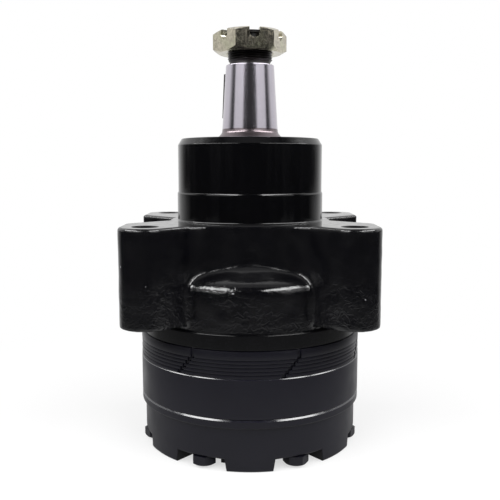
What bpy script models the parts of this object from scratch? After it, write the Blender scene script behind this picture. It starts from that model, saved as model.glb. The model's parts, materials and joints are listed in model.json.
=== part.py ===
"""Wheel-mount orbital hydraulic motor: a roller rotor set with a plate manifold turns a tapered, keyed shaft.

Run it with blender --background --python part.py, or from the text editor. The shaft stands along +Z,
the four ears lie square to X and Y, and the end cover rests on Z = 0. Sizes below are in millimetres.
"""
import cmath
import math

import bmesh
import bpy
from mathutils import Matrix, Vector

MM = 0.001
WELD = 0.00001            # merge distance for loose caps and screw seams, in metres

# Facets round a full turn
ROUND_LARGE = 48
ROUND_BORE = 32
ROUND_HOLE = 8
ROUND_PORT = 16
HEXAGON = 6

# Clearances
STACK_GAP = 0.25          # between the clamped faces of the stack
FIT_GAP = 0.3             # between a piece and its seat
RUN_GAP = 0.3             # between a turning piece and what it runs in

# End cover
COVER_HEIGHT = 28.6
COVER_RADIUS = 61.6
LIP_RADIUS = 63.5
LIP_HEIGHT = 4.3
LUG_HALF_ANGLE = 12.0     # degrees, half of each rim lug between two bolt pockets
POCKET_DEPTH = 6.6
POCKET_INNER_RADIUS = 47.5
STUB_RADIUS = 53.0        # cast gate stub beside the front lug
STUB_HALF_WIDTH = 2.6
STUB_DRAFT = 0.6          # degrees that the stub widens by towards the middle
STUB_BOTTOM = 0.8
CUT_SPARE = 1.0           # how far a cutter runs past the face it opens
ROOT_SPARE = 2.0          # how far an added form is sunk into the body it joins

# Clamping bolts
BOLTS = 7
BOLT_CIRCLE_RADIUS = 56.0
BOLT_RADIUS = 3.7
BOLT_REACH = 15.6         # into the housing
BOLT_HEAD_FLATS = 12.0
BOLT_HEAD_HEIGHT = 5.0
BOLT_HOLE_SPARE = 3.0     # hole depth past the bolt's end
BOLT_HEAD_TURNS = (2.0, 14.0, -20.0, 7.0, 25.0, -11.0, 30.0)

# Rotor set
RING_HEIGHT = 21.3
RING_RADIUS = 63.5
ROLLER_CIRCLE_RADIUS = 39.0
ROLLER_RADIUS = 7.6
ECCENTRICITY = 3.2
ROTOR_CLEARANCE = 0.22
ROTOR_FACETS = 96
RING_LAND_RADIUS = 38.3
ROLLER_FACETS = 16
END_CLEARANCE = 0.05      # rotor and rollers against the ring's faces

# Manifold plates
THIN_PLATES = 5
THIN_PLATE = 1.65
THICK_PLATE = 4.55
PLATE_RADIUS = 63.4
PLATE_BORE_RADIUS = 19.0
PLATE_NOTCHES = 7
NOTCH_DEPTH = 1.2
NOTCH_WIDTH = 2.4
NOTCH_FIRST_ANGLE = 23.5  # degrees from the front, on the thick plate
NOTCH_STEP = 1.55         # degrees that each plate below steps round
WINDOW_CIRCLE_RADIUS = 33.5
WINDOW_RADIUS = 2.6
WINDOW_FACETS = 5
WINDOW_TWIST = 4.0        # degrees that the windows step from plate to plate

# Housing, outside; each rise is counted from the housing's lower face
RIM_RADIUS = 62.5
RIM_HEIGHT = 10.3
BODY_RADIUS = 60.8
BODY_RISE = 32.3
SHOULDER_RISE = 40.5
NECK_RADIUS = 46.5
FLANGE_RISE = 10.8
FLANGE_HEIGHT = 51.6
FLANGE_INSIDE = 10.0      # half distance between the ear webs' inner ends
EAR_SPACING = 106.4
EAR_RADIUS = 14.0
EAR_HOLE_RADIUS = 6.75
SIDE_CORNER = 32.0        # half distance between the two side corners of the ears
SIDE_NECK = 45.0
PILOT_LOWER_RADIUS = 41.8
PILOT_STEP_HEIGHT = 15.9  # above the flange
PILOT_RADIUS = 41.275
PILOT_HEIGHT = 45.9       # above the flange
PILOT_CHAMFER_RISE = 3.5
PILOT_CHAMFER_IN = 2.1

# Ports, on a flat pad at the back
PORT_PAD_Y = 66.0
PORT_PAD_HALF_WIDTH = 35.0
PORT_PAD_HEIGHT = 32.0
PORT_RISE = 32.3          # middle of the pad and of the ports
PORT_X = 17.5
PORT_RADIUS = 10.3
PORT_DEPTH = 16.0
CROSS_PASSAGE_RADIUS = 3.5
DOWN_PASSAGE_RADIUS = 3.0
PASSAGE_Y = 44.0

# Output shaft
SHAFT_RISE = 4.8          # lower end, from the housing's lower face
HUB_RADIUS = 24.0
HUB_HEIGHT = 35.0
JOURNAL_RADIUS = 19.05
JOURNAL_PROUD = 0.2       # journal's end over the pilot's top
FLARE_HEIGHT = 4.6
FLARE_RADIUS = 16.1
FLARE_STEP = 0.5
TAPER_RADIUS = 15.875
TAPER_HEIGHT = 35.95
TAPER_SLOPE = 1.0 / 16.0  # radius lost for each millimetre of height
RELIEF_RADIUS = 11.4
RELIEF_LENGTH = 1.9
THREAD_RADIUS = 12.6
THREAD_LENGTH = 16.05
THREAD_CHAMFER = 1.0
COTTER_RADIUS = 1.9
COTTER_BELOW_TOP = 3.6
SOCKET_DEPTH = 31.5

# Woodruff key, in a seat that follows the taper
KEY_TURN = 46.0           # degrees behind the -X side
KEY_WIDTH = 7.9
KEY_DISC_RADIUS = 12.7
KEY_FLAT = 1.6            # the flat lies this far past the disc's centre
KEY_STAND = 3.97          # height over the taper
KEY_RISE = 19.8           # middle of the key over the taper's lower end
KEY_FACETS = 14

# Slotted nut
NUT_PROUD = 0.5           # nut's top over the shaft's end
NUT_HEIGHT = 12.1
NUT_FLATS = 36.5
NUT_TURN = 8.2            # degrees from the front to the middle of the nearest flat
NUT_CHAMFER_TURN = 30.0   # degrees of the corner chamfer
NUT_FACE_SHARE = 0.97     # of the width across flats, left flat at both ends
SLOT_WIDTH = 5.8
SLOT_DEPTH = 5.7

# Splined drive link between the rotor and the shaft
SPLINE_TEETH = 12
SPLINE_TIP = 13.4
SPLINE_ROOT = 11.3
SPLINE_FLANK_GAP = 0.6
SPLINE_TIP_GAP = 0.5
SPLINE_SHARE = 0.5        # of the pitch that a tooth fills at half depth
SPLINE_TIP_SHARE = 0.36   # of that, on each side of the middle, at the tip
SPLINE_ROOT_SHARE = 0.62  # and at the root
SPLINE_HALF_LENGTH = 6.0
LINK_NECK_RADIUS = 9.0
LINK_END_GAP = 1.1        # over the wafer
LINK_SOCKET_GAP = 2.6     # under the bottom of the shaft's socket
LINK_PIVOT_BELOW = 10.0   # crown of the upper spline, under the socket's bottom
WAFER_RADIUS = 10.6
WAFER_HEIGHT = 2.4

# Bearings and seals in the housing
CAVITY_RADIUS = 33.0
CAVITY_HEIGHT = 32.6
THRUST_BORE_RADIUS = 30.0
THRUST_BORE_HEIGHT = 13.6
WEB_HEIGHT = 4.1
WEB_BORE_RADIUS = 24.5
FRONT_BORE_RADIUS = 27.5
REAR_BEARING_RISE = 12.3
RACE_WALL = 3.05
RACE_OVERLAP = 1.0        # race past the rollers at both ends
BEARING_ROLLERS = 12
CAGE_WALL = 1.6
FRONT_BEARING_LENGTH = 30.0
THRUST_ROLLERS = 8
THRUST_ROLLER_RADIUS = 1.5
THRUST_ROLLER_INSET = 1.5
THRUST_CAGE_SHARE = 0.45  # of a roller's radius, half the cage's thickness
THRUST_FIRST_ANGLE = 5.0  # degrees
THRUST_RACE = 2.0
BACKUP_WASHER = 2.0
SHAFT_SEAL_LENGTH = 8.4
SEAL_LIP = 2.6
SEAL_LIP_LAND = 1.0       # height of the lip where it touches
SNAP_RING = 1.8
SNAP_RING_GROOVE = 2.2
SNAP_RING_WIDTH = 4.6
SNAP_RING_OPENING = 26.0  # degrees
DUST_SEAL_LENGTH = 7.5
DUST_SEAL_INSET = 0.8     # under the pilot's top
DUST_LIP_HEIGHT = 3.0
DUST_LIP_BELOW = 0.2
BODY_SEAL_RADIUS = 48.6
BODY_SEAL_CORD = 2.0


def stack_levels():
    """Lowest Z of the ring, of each plate from the ring up, and of the housing."""
    ring = COVER_HEIGHT + STACK_GAP
    plates = [ring + RING_HEIGHT + STACK_GAP]
    for _ in range(THIN_PLATES):
        plates.append(plates[-1] + THIN_PLATE + STACK_GAP)
    return ring, plates, plates[-1] + THICK_PLATE + STACK_GAP


RING_BOTTOM, PLATE_BOTTOMS, HOUSING_BOTTOM = stack_levels()
ROTOR_BOTTOM = RING_BOTTOM + END_CLEARANCE
ROTOR_HEIGHT = RING_HEIGHT - 2 * END_CLEARANCE
ROTOR_MIDDLE = RING_BOTTOM + RING_HEIGHT / 2
BOLT_SEAT = POCKET_DEPTH - FIT_GAP
BOLT_END = HOUSING_BOTTOM + BOLT_REACH

# Heights of the housing
BODY_TOP = HOUSING_BOTTOM + BODY_RISE
SHOULDER_TOP = HOUSING_BOTTOM + SHOULDER_RISE
FLANGE_BOTTOM = HOUSING_BOTTOM + FLANGE_RISE
FLANGE_TOP = FLANGE_BOTTOM + FLANGE_HEIGHT
PILOT_STEP = FLANGE_TOP + PILOT_STEP_HEIGHT
PILOT_TOP = FLANGE_TOP + PILOT_HEIGHT
PORT_Z = HOUSING_BOTTOM + PORT_RISE
CAVITY_TOP = HOUSING_BOTTOM + CAVITY_HEIGHT
WEB_BOTTOM = CAVITY_TOP + THRUST_BORE_HEIGHT
WEB_TOP = WEB_BOTTOM + WEB_HEIGHT
REAR_BEARING_BOTTOM = HOUSING_BOTTOM + REAR_BEARING_RISE

# Heights of the shaft, its key, nut and link
SHAFT_BOTTOM = HOUSING_BOTTOM + SHAFT_RISE
HUB_TOP = SHAFT_BOTTOM + HUB_HEIGHT
FLARE_BOTTOM = PILOT_TOP + JOURNAL_PROUD
FLARE_TOP = FLARE_BOTTOM + FLARE_HEIGHT
TAPER_BOTTOM = FLARE_TOP + FLARE_STEP
TAPER_TOP = TAPER_BOTTOM + TAPER_HEIGHT
THREAD_BOTTOM = TAPER_TOP + RELIEF_LENGTH
SHAFT_TOP = THREAD_BOTTOM + THREAD_LENGTH
KEY_MIDDLE = TAPER_BOTTOM + KEY_RISE
NUT_TOP = SHAFT_TOP + NUT_PROUD
NUT_BOTTOM = NUT_TOP - NUT_HEIGHT
SOCKET_TOP = SHAFT_BOTTOM + SOCKET_DEPTH
LINK_BOTTOM = ROTOR_BOTTOM + WAFER_HEIGHT + LINK_END_GAP
LINK_TOP = SOCKET_TOP - LINK_SOCKET_GAP
LINK_PIVOT_HEIGHT = SOCKET_TOP - LINK_PIVOT_BELOW
LINK_TILT = math.atan2(ECCENTRICITY, LINK_PIVOT_HEIGHT - ROTOR_MIDDLE)

COLOURS = {
    "black_paint": ((0.012, 0.012, 0.014, 1.0), 0.28, 0.0),
    "satin_black": ((0.030, 0.029, 0.034, 1.0), 0.45, 0.0),
    "ground_steel": ((0.62, 0.61, 0.62, 1.0), 0.25, 1.0),
    "dark_steel": ((0.20, 0.19, 0.19, 1.0), 0.4, 1.0),
    "yellow_zinc": ((0.62, 0.56, 0.42, 1.0), 0.3, 1.0),
    "bearing_steel": ((0.55, 0.56, 0.58, 1.0), 0.2, 1.0),
    "seal_rubber": ((0.02, 0.02, 0.02, 1.0), 0.7, 0.0),
    "bronze": ((0.55, 0.38, 0.18, 1.0), 0.4, 1.0),
}


def clear_scene():
    """Remove every object, so that the script starts from an empty scene."""
    for obj in list(bpy.data.objects):
        bpy.data.objects.remove(obj, do_unlink=True)


def new_collection(name):
    """A fresh collection, linked to the scene."""
    collection = bpy.data.collections.new(name)
    bpy.context.scene.collection.children.link(collection)
    return collection


def new_material(name, colour):
    """A Principled material for one node."""
    base, roughness, metallic = COLOURS[colour]
    material = bpy.data.materials.new(name + "_" + colour)
    material.use_nodes = True
    shader = material.node_tree.nodes["Principled BSDF"]
    shader.inputs["Base Color"].default_value = base
    shader.inputs["Roughness"].default_value = roughness
    shader.inputs["Metallic"].default_value = metallic
    return material


def new_object(name, mesh, collection):
    """An object for a mesh, linked to the collection."""
    obj = bpy.data.objects.new(name, mesh)
    collection.objects.link(obj)
    return obj


def finish(obj, colour):
    """Give a node its material and smooth shading with sharp edges kept."""
    obj.data.materials.clear()
    obj.data.materials.append(new_material(obj.name, colour))
    obj.data.shade_smooth()
    obj.data.set_sharp_from_angle(angle=math.radians(30))
    return obj


def front(angle, radius, height=0.0):
    """A point at an angle in degrees from the front (-Y), counted towards +X."""
    turn = math.radians(angle)
    return Vector((radius * math.sin(turn), -radius * math.cos(turn), height))


def turned(name, profile, collection, steps=ROUND_BORE):
    """A solid of revolution from (radius, height) points that run down the outer side."""
    mesh = bpy.data.meshes.new(name)
    points = [(radius * MM, 0.0, height * MM) for radius, height in profile]
    closed = min(radius for radius, _ in profile) > 0.0
    edges = [(i, i + 1) for i in range(len(points) - 1)]
    if closed:
        edges.append((len(points) - 1, 0))
    mesh.from_pydata(points, edges, [])
    obj = new_object(name, mesh, collection)
    screw = obj.modifiers.new("Turn", "SCREW")
    screw.steps = steps
    screw.render_steps = steps
    screw.use_merge_vertices = True
    screw.merge_threshold = WELD
    return obj


def tube_profile(inner, outer, bottom, top):
    """Profile of a plain ring."""
    return [(outer, top), (outer, bottom), (inner, bottom), (inner, top)]


def arc(centre, radius, start, end, steps):
    """Points of an arc in the XY plane, angles in degrees."""
    points = []
    for i in range(steps + 1):
        turn = math.radians(start + (end - start) * i / steps)
        points.append((centre[0] + radius * math.cos(turn), centre[1] + radius * math.sin(turn)))
    return points


def circle(centre, radius, steps):
    """Points of a full circle in the XY plane."""
    return arc(centre, radius, 0.0, 360.0, steps)[:-1]


def as_mesh(obj, collection):
    """Turn an object into a plain welded mesh of what its modifiers make."""
    depsgraph = bpy.context.evaluated_depsgraph_get()
    mesh = bpy.data.meshes.new_from_object(obj.evaluated_get(depsgraph))
    name = obj.name
    matrix = obj.matrix_world.copy()
    bpy.data.objects.remove(obj, do_unlink=True)
    form = bmesh.new()
    form.from_mesh(mesh)
    bmesh.ops.remove_doubles(form, verts=form.verts, dist=WELD)
    bmesh.ops.recalc_face_normals(form, faces=form.faces)
    form.to_mesh(mesh)
    form.free()
    mesh.name = name
    made = new_object(name, mesh, collection)
    made.matrix_world = matrix
    return made


def flat_piece(name, outlines, bottom, top, collection):
    """A piece cut from plate: the first outline is its edge and the others are holes."""
    curve = bpy.data.curves.new(name, "CURVE")
    curve.dimensions = "2D"
    curve.fill_mode = "BOTH"
    curve.extrude = (top - bottom) / 2 * MM
    for outline in outlines:
        spline = curve.splines.new("POLY")
        spline.points.add(len(outline) - 1)
        for point, (x, y) in zip(spline.points, outline):
            point.co = (x * MM, y * MM, 0.0, 1.0)
        spline.use_cyclic_u = True
    obj = new_object(name, curve, collection)
    obj.location.z = (top + bottom) / 2 * MM
    bpy.context.view_layer.update()
    return as_mesh(obj, collection)


def rod(name, radius, start, end, collection, facets=ROUND_HOLE):
    """A straight cylinder between two points."""
    start = Vector(start) * MM
    end = Vector(end) * MM
    mesh = bpy.data.meshes.new(name)
    form = bmesh.new()
    length = (end - start).length
    bmesh.ops.create_cone(form, cap_ends=True, segments=facets, radius1=radius * MM,
                          radius2=radius * MM, depth=length)
    turn = Vector((0, 0, 1)).rotation_difference(end - start).to_matrix().to_4x4()
    bmesh.ops.transform(form, matrix=Matrix.Translation((start + end) / 2) @ turn, verts=form.verts)
    form.to_mesh(mesh)
    form.free()
    return new_object(name, mesh, collection)


def block(name, low, high, collection):
    """A box between two corners."""
    low = Vector(low) * MM
    high = Vector(high) * MM
    mesh = bpy.data.meshes.new(name)
    form = bmesh.new()
    bmesh.ops.create_cube(form, size=1.0)
    size = high - low
    bmesh.ops.transform(form, matrix=Matrix.Translation((low + high) / 2) @ Matrix.Diagonal((*size, 1.0)),
                        verts=form.verts)
    form.to_mesh(mesh)
    form.free()
    return new_object(name, mesh, collection)


def boolean(obj, other, operation):
    """Add, cut or intersect another object, which stays as a hidden guide."""
    modifier = obj.modifiers.new(operation.title() + "_" + other.name, "BOOLEAN")
    modifier.operation = operation
    modifier.solver = "EXACT"
    modifier.object = other
    other.hide_render = True
    other.display_type = "WIRE"


def bolt_angles():
    """Angles of the clamping bolts from the front; the lugs and rollers lie half way between them."""
    pitch = 360.0 / BOLTS
    return [pitch * (i + 0.5) for i in range(BOLTS)]


def bolt_hole_outlines():
    """Outlines of the clearance holes for the clamping bolts."""
    outlines = []
    for angle in bolt_angles():
        spot = front(angle, BOLT_CIRCLE_RADIUS)
        outlines.append(circle(spot.xy, BOLT_RADIUS + FIT_GAP, ROUND_HOLE))
    return outlines


def pocket_outline(angle):
    """Outline of one bolt pocket, open at the rim, between two lugs."""
    half = 180.0 / BOLTS - LUG_HALF_ANGLE
    inner = []
    outer = []
    for i in range(5):
        place = angle - half + half * i / 2
        inner.append(front(place, POCKET_INNER_RADIUS).xy)
        outer.append(front(place, LIP_RADIUS + ROOT_SPARE).xy)
    return inner + outer[::-1]


def make_end_cover(parts, cutters):
    """Cast cover with a lip, seven open bolt pockets and the bolt holes."""
    lip_bottom = COVER_HEIGHT - LIP_HEIGHT
    profile = [(0.0, COVER_HEIGHT), (LIP_RADIUS, COVER_HEIGHT), (LIP_RADIUS, lip_bottom),
               (COVER_RADIUS, lip_bottom), (COVER_RADIUS, 0.0), (0.0, 0.0)]
    cover = turned("end_cover", profile, parts, ROUND_LARGE)
    for i, angle in enumerate(bolt_angles()):
        pocket = flat_piece(f"cut_pocket_{i + 1}", [pocket_outline(angle)], -CUT_SPARE, POCKET_DEPTH,
                            cutters)
        boolean(cover, pocket, "DIFFERENCE")
        low = front(angle, BOLT_CIRCLE_RADIUS, POCKET_DEPTH - CUT_SPARE)
        high = front(angle, BOLT_CIRCLE_RADIUS, COVER_HEIGHT + CUT_SPARE)
        hole = rod(f"cut_cover_hole_{i + 1}", BOLT_RADIUS + FIT_GAP, low, high, cutters)
        boolean(cover, hole, "DIFFERENCE")
    boolean(cover, make_gate_stub(cutters), "UNION")
    boolean(cover, seal_groove("cut_cover_groove", COVER_HEIGHT, cutters), "DIFFERENCE")
    return finish(cover, "satin_black")


def make_gate_stub(cutters):
    """Short cast stub that fills the inner end of the pocket beside the front lug."""
    angle = LUG_HALF_ANGLE + STUB_HALF_WIDTH
    low = POCKET_INNER_RADIUS - ROOT_SPARE
    left = -angle - STUB_HALF_WIDTH
    right = -angle + STUB_HALF_WIDTH + STUB_DRAFT
    outline = [front(left - STUB_DRAFT, low).xy, front(left, STUB_RADIUS).xy,
               front(right, STUB_RADIUS).xy, front(right + STUB_DRAFT, low).xy]
    return flat_piece("add_gate_stub", [outline], STUB_BOTTOM, POCKET_DEPTH + ROOT_SPARE, cutters)


def seal_groove(name, height, cutters):
    """Cutter for the seal groove in an upward face."""
    half = BODY_SEAL_CORD / 2 + FIT_GAP
    depth = BODY_SEAL_CORD + FIT_GAP
    inner = BODY_SEAL_RADIUS - half
    outer = BODY_SEAL_RADIUS + half
    return turned(name, tube_profile(inner, outer, height - depth, height + CUT_SPARE), cutters)


def make_body_seal(name, face, parts):
    """Square-cut seal ring that lies in a groove under an upward face."""
    half = BODY_SEAL_CORD / 2
    profile = tube_profile(BODY_SEAL_RADIUS - half, BODY_SEAL_RADIUS + half, face - BODY_SEAL_CORD, face)
    return finish(turned(name, profile, parts), "seal_rubber")


def make_bolts(parts, cutters):
    """Hexagon-head bolts that clamp cover, ring and plates to the housing."""
    for i, angle in enumerate(bolt_angles()):
        spot = front(angle, BOLT_CIRCLE_RADIUS)
        bolt = rod(f"cover_bolt_{i + 1}", BOLT_RADIUS, (spot.x, spot.y, BOLT_SEAT - CUT_SPARE),
                   (spot.x, spot.y, BOLT_END), parts)
        corner = BOLT_HEAD_FLATS / math.sqrt(3)
        head = rod(f"add_bolt_head_{i + 1}", corner, (spot.x, spot.y, BOLT_SEAT - BOLT_HEAD_HEIGHT),
                   (spot.x, spot.y, BOLT_SEAT), cutters, HEXAGON)
        turn = math.radians(angle + BOLT_HEAD_TURNS[i])
        centre = Matrix.Translation(spot * MM)
        head.matrix_world = centre @ Matrix.Rotation(turn, 4, "Z") @ centre.inverted()
        boolean(bolt, head, "UNION")
        finish(bolt, "black_paint")


def ring_cavity_outline():
    """Inside of the rotor ring: a round land with a pocket for each roller."""
    pocket = ROLLER_RADIUS + RUN_GAP
    reach = ROLLER_CIRCLE_RADIUS
    mouth_cos = (RING_LAND_RADIUS ** 2 + reach ** 2 - pocket ** 2) / (2 * RING_LAND_RADIUS * reach)
    mouth = math.degrees(math.acos(mouth_cos))
    half_side = RING_LAND_RADIUS * math.sin(math.radians(mouth))
    lean = math.degrees(math.acos(half_side / pocket))
    pitch = 360.0 / BOLTS
    points = []
    for i in range(BOLTS):
        angle = -90.0 + pitch * i
        turn = math.radians(angle)
        centre = (reach * math.cos(turn), reach * math.sin(turn))
        points += arc(centre, pocket, angle - 90.0 - lean, angle + 90.0 + lean, 10)
        points += arc((0.0, 0.0), RING_LAND_RADIUS, angle + mouth, angle + pitch - mouth, 4)[1:-1]
    return points


def make_rotor_ring(parts, cutters):
    """Outer ring of the rotor set, with roller pockets and bolt holes."""
    outlines = [circle((0.0, 0.0), RING_RADIUS, ROUND_LARGE), ring_cavity_outline()] + bolt_hole_outlines()
    ring = flat_piece("rotor_ring", outlines, RING_BOTTOM, RING_BOTTOM + RING_HEIGHT, parts)
    boolean(ring, seal_groove("cut_ring_groove", RING_BOTTOM + RING_HEIGHT, cutters), "DIFFERENCE")
    return finish(ring, "satin_black")


def rotor_outline():
    """Six lobes: the path of a roller's centre round the rotor, brought in by the roller's radius."""
    points = []
    for step in range(ROTOR_FACETS):
        turn = 2 * math.pi * step / ROTOR_FACETS
        path = ROLLER_CIRCLE_RADIUS * cmath.exp(-1j * turn) - ECCENTRICITY * cmath.exp(-1j * BOLTS * turn)
        along = (-1j * ROLLER_CIRCLE_RADIUS * cmath.exp(-1j * turn)
                 + 1j * BOLTS * ECCENTRICITY * cmath.exp(-1j * BOLTS * turn))
        inward = -1j * along / abs(along)
        point = (path + inward * (ROLLER_RADIUS + ROTOR_CLEARANCE)) * -1j
        points.append((point.real, point.imag - ECCENTRICITY))
    return points[::-1]


def spline_outline(centre, tip, root, tooth_share):
    """Outline of straight-sided spline teeth; the share is the tooth's part of the pitch at half depth."""
    pitch = 360.0 / SPLINE_TEETH
    points = []
    for i in range(SPLINE_TEETH):
        middle = pitch * i
        at_tip = pitch * tooth_share * SPLINE_TIP_SHARE
        at_root = pitch * tooth_share * SPLINE_ROOT_SHARE
        for radius, offset in ((root, -at_root), (tip, -at_tip), (tip, at_tip), (root, at_root)):
            turn = math.radians(middle + offset)
            points.append((centre[0] + radius * math.cos(turn), centre[1] + radius * math.sin(turn)))
    return points


def link_teeth(centre):
    """Outline of the drive link's teeth."""
    return spline_outline(centre, SPLINE_TIP, SPLINE_ROOT, SPLINE_SHARE)


def socket_teeth(centre):
    """Outline of the splined socket that takes the link's teeth, with its running gaps."""
    widen = math.degrees(SPLINE_FLANK_GAP / SPLINE_TIP) / (360.0 / SPLINE_TEETH)
    return spline_outline(centre, SPLINE_TIP + SPLINE_TIP_GAP, SPLINE_ROOT + SPLINE_TIP_GAP,
                          SPLINE_SHARE + 2 * widen)


def make_rotor(parts):
    """Six-lobed rotor with a splined bore, its centre off the shaft's axis."""
    outlines = [rotor_outline(), socket_teeth((0.0, -ECCENTRICITY))]
    rotor = flat_piece("rotor", outlines, ROTOR_BOTTOM, ROTOR_BOTTOM + ROTOR_HEIGHT, parts)
    set_origin(rotor, (0.0, -ECCENTRICITY, ROTOR_BOTTOM))
    return finish(rotor, "bearing_steel")


def set_origin(obj, point):
    """Move the object's origin to a point and keep its shape where it is."""
    spot = Vector(point) * MM
    obj.data.transform(Matrix.Translation(-spot) @ obj.matrix_world)
    obj.matrix_world = Matrix.Translation(spot)


def make_rotor_rollers(parts):
    """One roller in each pocket of the rotor ring."""
    for i in range(BOLTS):
        spot = front(360.0 / BOLTS * i, ROLLER_CIRCLE_RADIUS)
        roller = rod(f"rotor_roller_{i + 1}", ROLLER_RADIUS, (spot.x, spot.y, ROTOR_BOTTOM),
                     (spot.x, spot.y, ROTOR_BOTTOM + ROTOR_HEIGHT), parts, ROLLER_FACETS)
        set_origin(roller, (spot.x, spot.y, ROTOR_BOTTOM))
        finish(roller, "bearing_steel")


def plate_edge(level):
    """Round plate outline with small notches that step round from plate to plate."""
    first = NOTCH_FIRST_ANGLE - NOTCH_STEP * level
    half = math.degrees(NOTCH_WIDTH / 2 / PLATE_RADIUS)
    pitch = 360.0 / PLATE_NOTCHES
    facets = ROUND_LARGE // PLATE_NOTCHES
    points = []
    for i in range(PLATE_NOTCHES):
        centre = first + pitch * i
        for angle, radius in ((-half, PLATE_RADIUS), (-half, PLATE_RADIUS - NOTCH_DEPTH),
                              (half, PLATE_RADIUS - NOTCH_DEPTH)):
            points.append(front(centre + angle, radius).xy)
        for k in range(facets):
            points.append(front(centre + half + (pitch - 2 * half) * k / facets, PLATE_RADIUS).xy)
    return points


def make_manifold_plates(parts):
    """Thin plates over the rotor set and one thick plate under the housing."""
    names = [f"manifold_plate_{i + 1}" for i in range(THIN_PLATES)] + ["wear_plate"]
    pitch = 360.0 / BOLTS
    for i, name in enumerate(names):
        level = THIN_PLATES - i
        outlines = [plate_edge(level), circle((0.0, 0.0), PLATE_BORE_RADIUS, ROUND_PORT)]
        outlines += bolt_hole_outlines()
        for k in range(BOLTS):
            spot = front(pitch * (k + 0.5) - WINDOW_TWIST * i, WINDOW_CIRCLE_RADIUS)
            outlines.append(circle(spot.xy, WINDOW_RADIUS, WINDOW_FACETS))
        thickness = THICK_PLATE if name == "wear_plate" else THIN_PLATE
        plate = flat_piece(name, outlines, PLATE_BOTTOMS[i], PLATE_BOTTOMS[i] + thickness, parts)
        finish(plate, "satin_black")


def flange_half():
    """Right half of the ear outline, from the front neck round both ears to the back."""
    centre = EAR_SPACING / 2
    web = EAR_RADIUS * math.sqrt(2)
    quarter = [(FLANGE_INSIDE, -FLANGE_INSIDE - web)]
    quarter += arc((centre, -centre), EAR_RADIUS, 225.0, 360.0, 9)
    quarter += [(centre + EAR_RADIUS, -SIDE_CORNER)]
    run = centre + EAR_RADIUS - SIDE_NECK
    quarter += [(SIDE_NECK, -SIDE_CORNER + run)]
    return quarter + [(x, -y) for x, y in reversed(quarter)]


def make_flange(cutters):
    """Body of the four ears and their webs."""
    half = flange_half()
    outline = half + [(-x, y) for x, y in reversed(half)]
    return flat_piece("add_flange", [outline], FLANGE_BOTTOM, FLANGE_TOP, cutters)


def housing_outside():
    """Profile of the housing's turned and cast round form, without its bore."""
    body_bottom = HOUSING_BOTTOM + RIM_HEIGHT
    return [(0.0, PILOT_TOP), (PILOT_RADIUS - PILOT_CHAMFER_IN, PILOT_TOP),
            (PILOT_RADIUS, PILOT_TOP - PILOT_CHAMFER_RISE), (PILOT_RADIUS, PILOT_STEP),
            (PILOT_LOWER_RADIUS, PILOT_STEP), (PILOT_LOWER_RADIUS, FLANGE_TOP),
            (NECK_RADIUS, FLANGE_TOP), (NECK_RADIUS, SHOULDER_TOP), (BODY_RADIUS, BODY_TOP),
            (BODY_RADIUS, body_bottom), (RIM_RADIUS, body_bottom), (RIM_RADIUS, HOUSING_BOTTOM),
            (0.0, HOUSING_BOTTOM)]


def housing_bore():
    """Profile of the whole inside: cavity, bearing seats, web, seal bore and snap ring groove."""
    groove_bottom = snap_ring_bottom() - FIT_GAP
    groove_top = groove_bottom + SNAP_RING + 2 * FIT_GAP
    groove = FRONT_BORE_RADIUS + SNAP_RING_GROOVE
    above = PILOT_TOP + CUT_SPARE
    below = HOUSING_BOTTOM - CUT_SPARE
    return [(0.0, above), (FRONT_BORE_RADIUS, above), (FRONT_BORE_RADIUS, groove_top),
            (groove, groove_top), (groove, groove_bottom), (FRONT_BORE_RADIUS, groove_bottom),
            (FRONT_BORE_RADIUS, WEB_TOP), (WEB_BORE_RADIUS, WEB_TOP), (WEB_BORE_RADIUS, WEB_BOTTOM),
            (THRUST_BORE_RADIUS, WEB_BOTTOM), (THRUST_BORE_RADIUS, CAVITY_TOP), (CAVITY_RADIUS, CAVITY_TOP),
            (CAVITY_RADIUS, below), (0.0, below)]


def cut_mounting_holes(housing, cutters):
    """Through holes of the four ears, and blind holes for the clamping bolts."""
    centre = EAR_SPACING / 2
    for i, (side, end) in enumerate(((-1, -1), (1, -1), (-1, 1), (1, 1))):
        x = side * centre
        y = end * centre
        hole = rod(f"cut_ear_hole_{i + 1}", EAR_HOLE_RADIUS, (x, y, FLANGE_BOTTOM - CUT_SPARE),
                   (x, y, FLANGE_TOP + CUT_SPARE), cutters, ROUND_PORT)
        boolean(housing, hole, "DIFFERENCE")
    for i, angle in enumerate(bolt_angles()):
        low = front(angle, BOLT_CIRCLE_RADIUS, HOUSING_BOTTOM - CUT_SPARE)
        high = front(angle, BOLT_CIRCLE_RADIUS, BOLT_END + BOLT_HOLE_SPARE)
        hole = rod(f"cut_housing_hole_{i + 1}", BOLT_RADIUS + FIT_GAP, low, high, cutters)
        boolean(housing, hole, "DIFFERENCE")


def cut_ports(housing, cutters):
    """Two threaded ports in the back pad, each drilled down to the manifold face."""
    for side, name in ((-1, "left"), (1, "right")):
        x = side * PORT_X
        port = rod(f"cut_port_{name}", PORT_RADIUS, (x, PORT_PAD_Y - PORT_DEPTH, PORT_Z),
                   (x, PORT_PAD_Y + CUT_SPARE, PORT_Z), cutters, ROUND_PORT)
        boolean(housing, port, "DIFFERENCE")
        cross = rod(f"cut_cross_{name}", CROSS_PASSAGE_RADIUS, (x, PASSAGE_Y - ROOT_SPARE, PORT_Z),
                    (x, PORT_PAD_Y - PORT_DEPTH + CUT_SPARE, PORT_Z), cutters)
        boolean(housing, cross, "DIFFERENCE")
        down = rod(f"cut_passage_{name}", DOWN_PASSAGE_RADIUS, (x, PASSAGE_Y, HOUSING_BOTTOM - CUT_SPARE),
                   (x, PASSAGE_Y, PORT_Z), cutters)
        boolean(housing, down, "DIFFERENCE")


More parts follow.
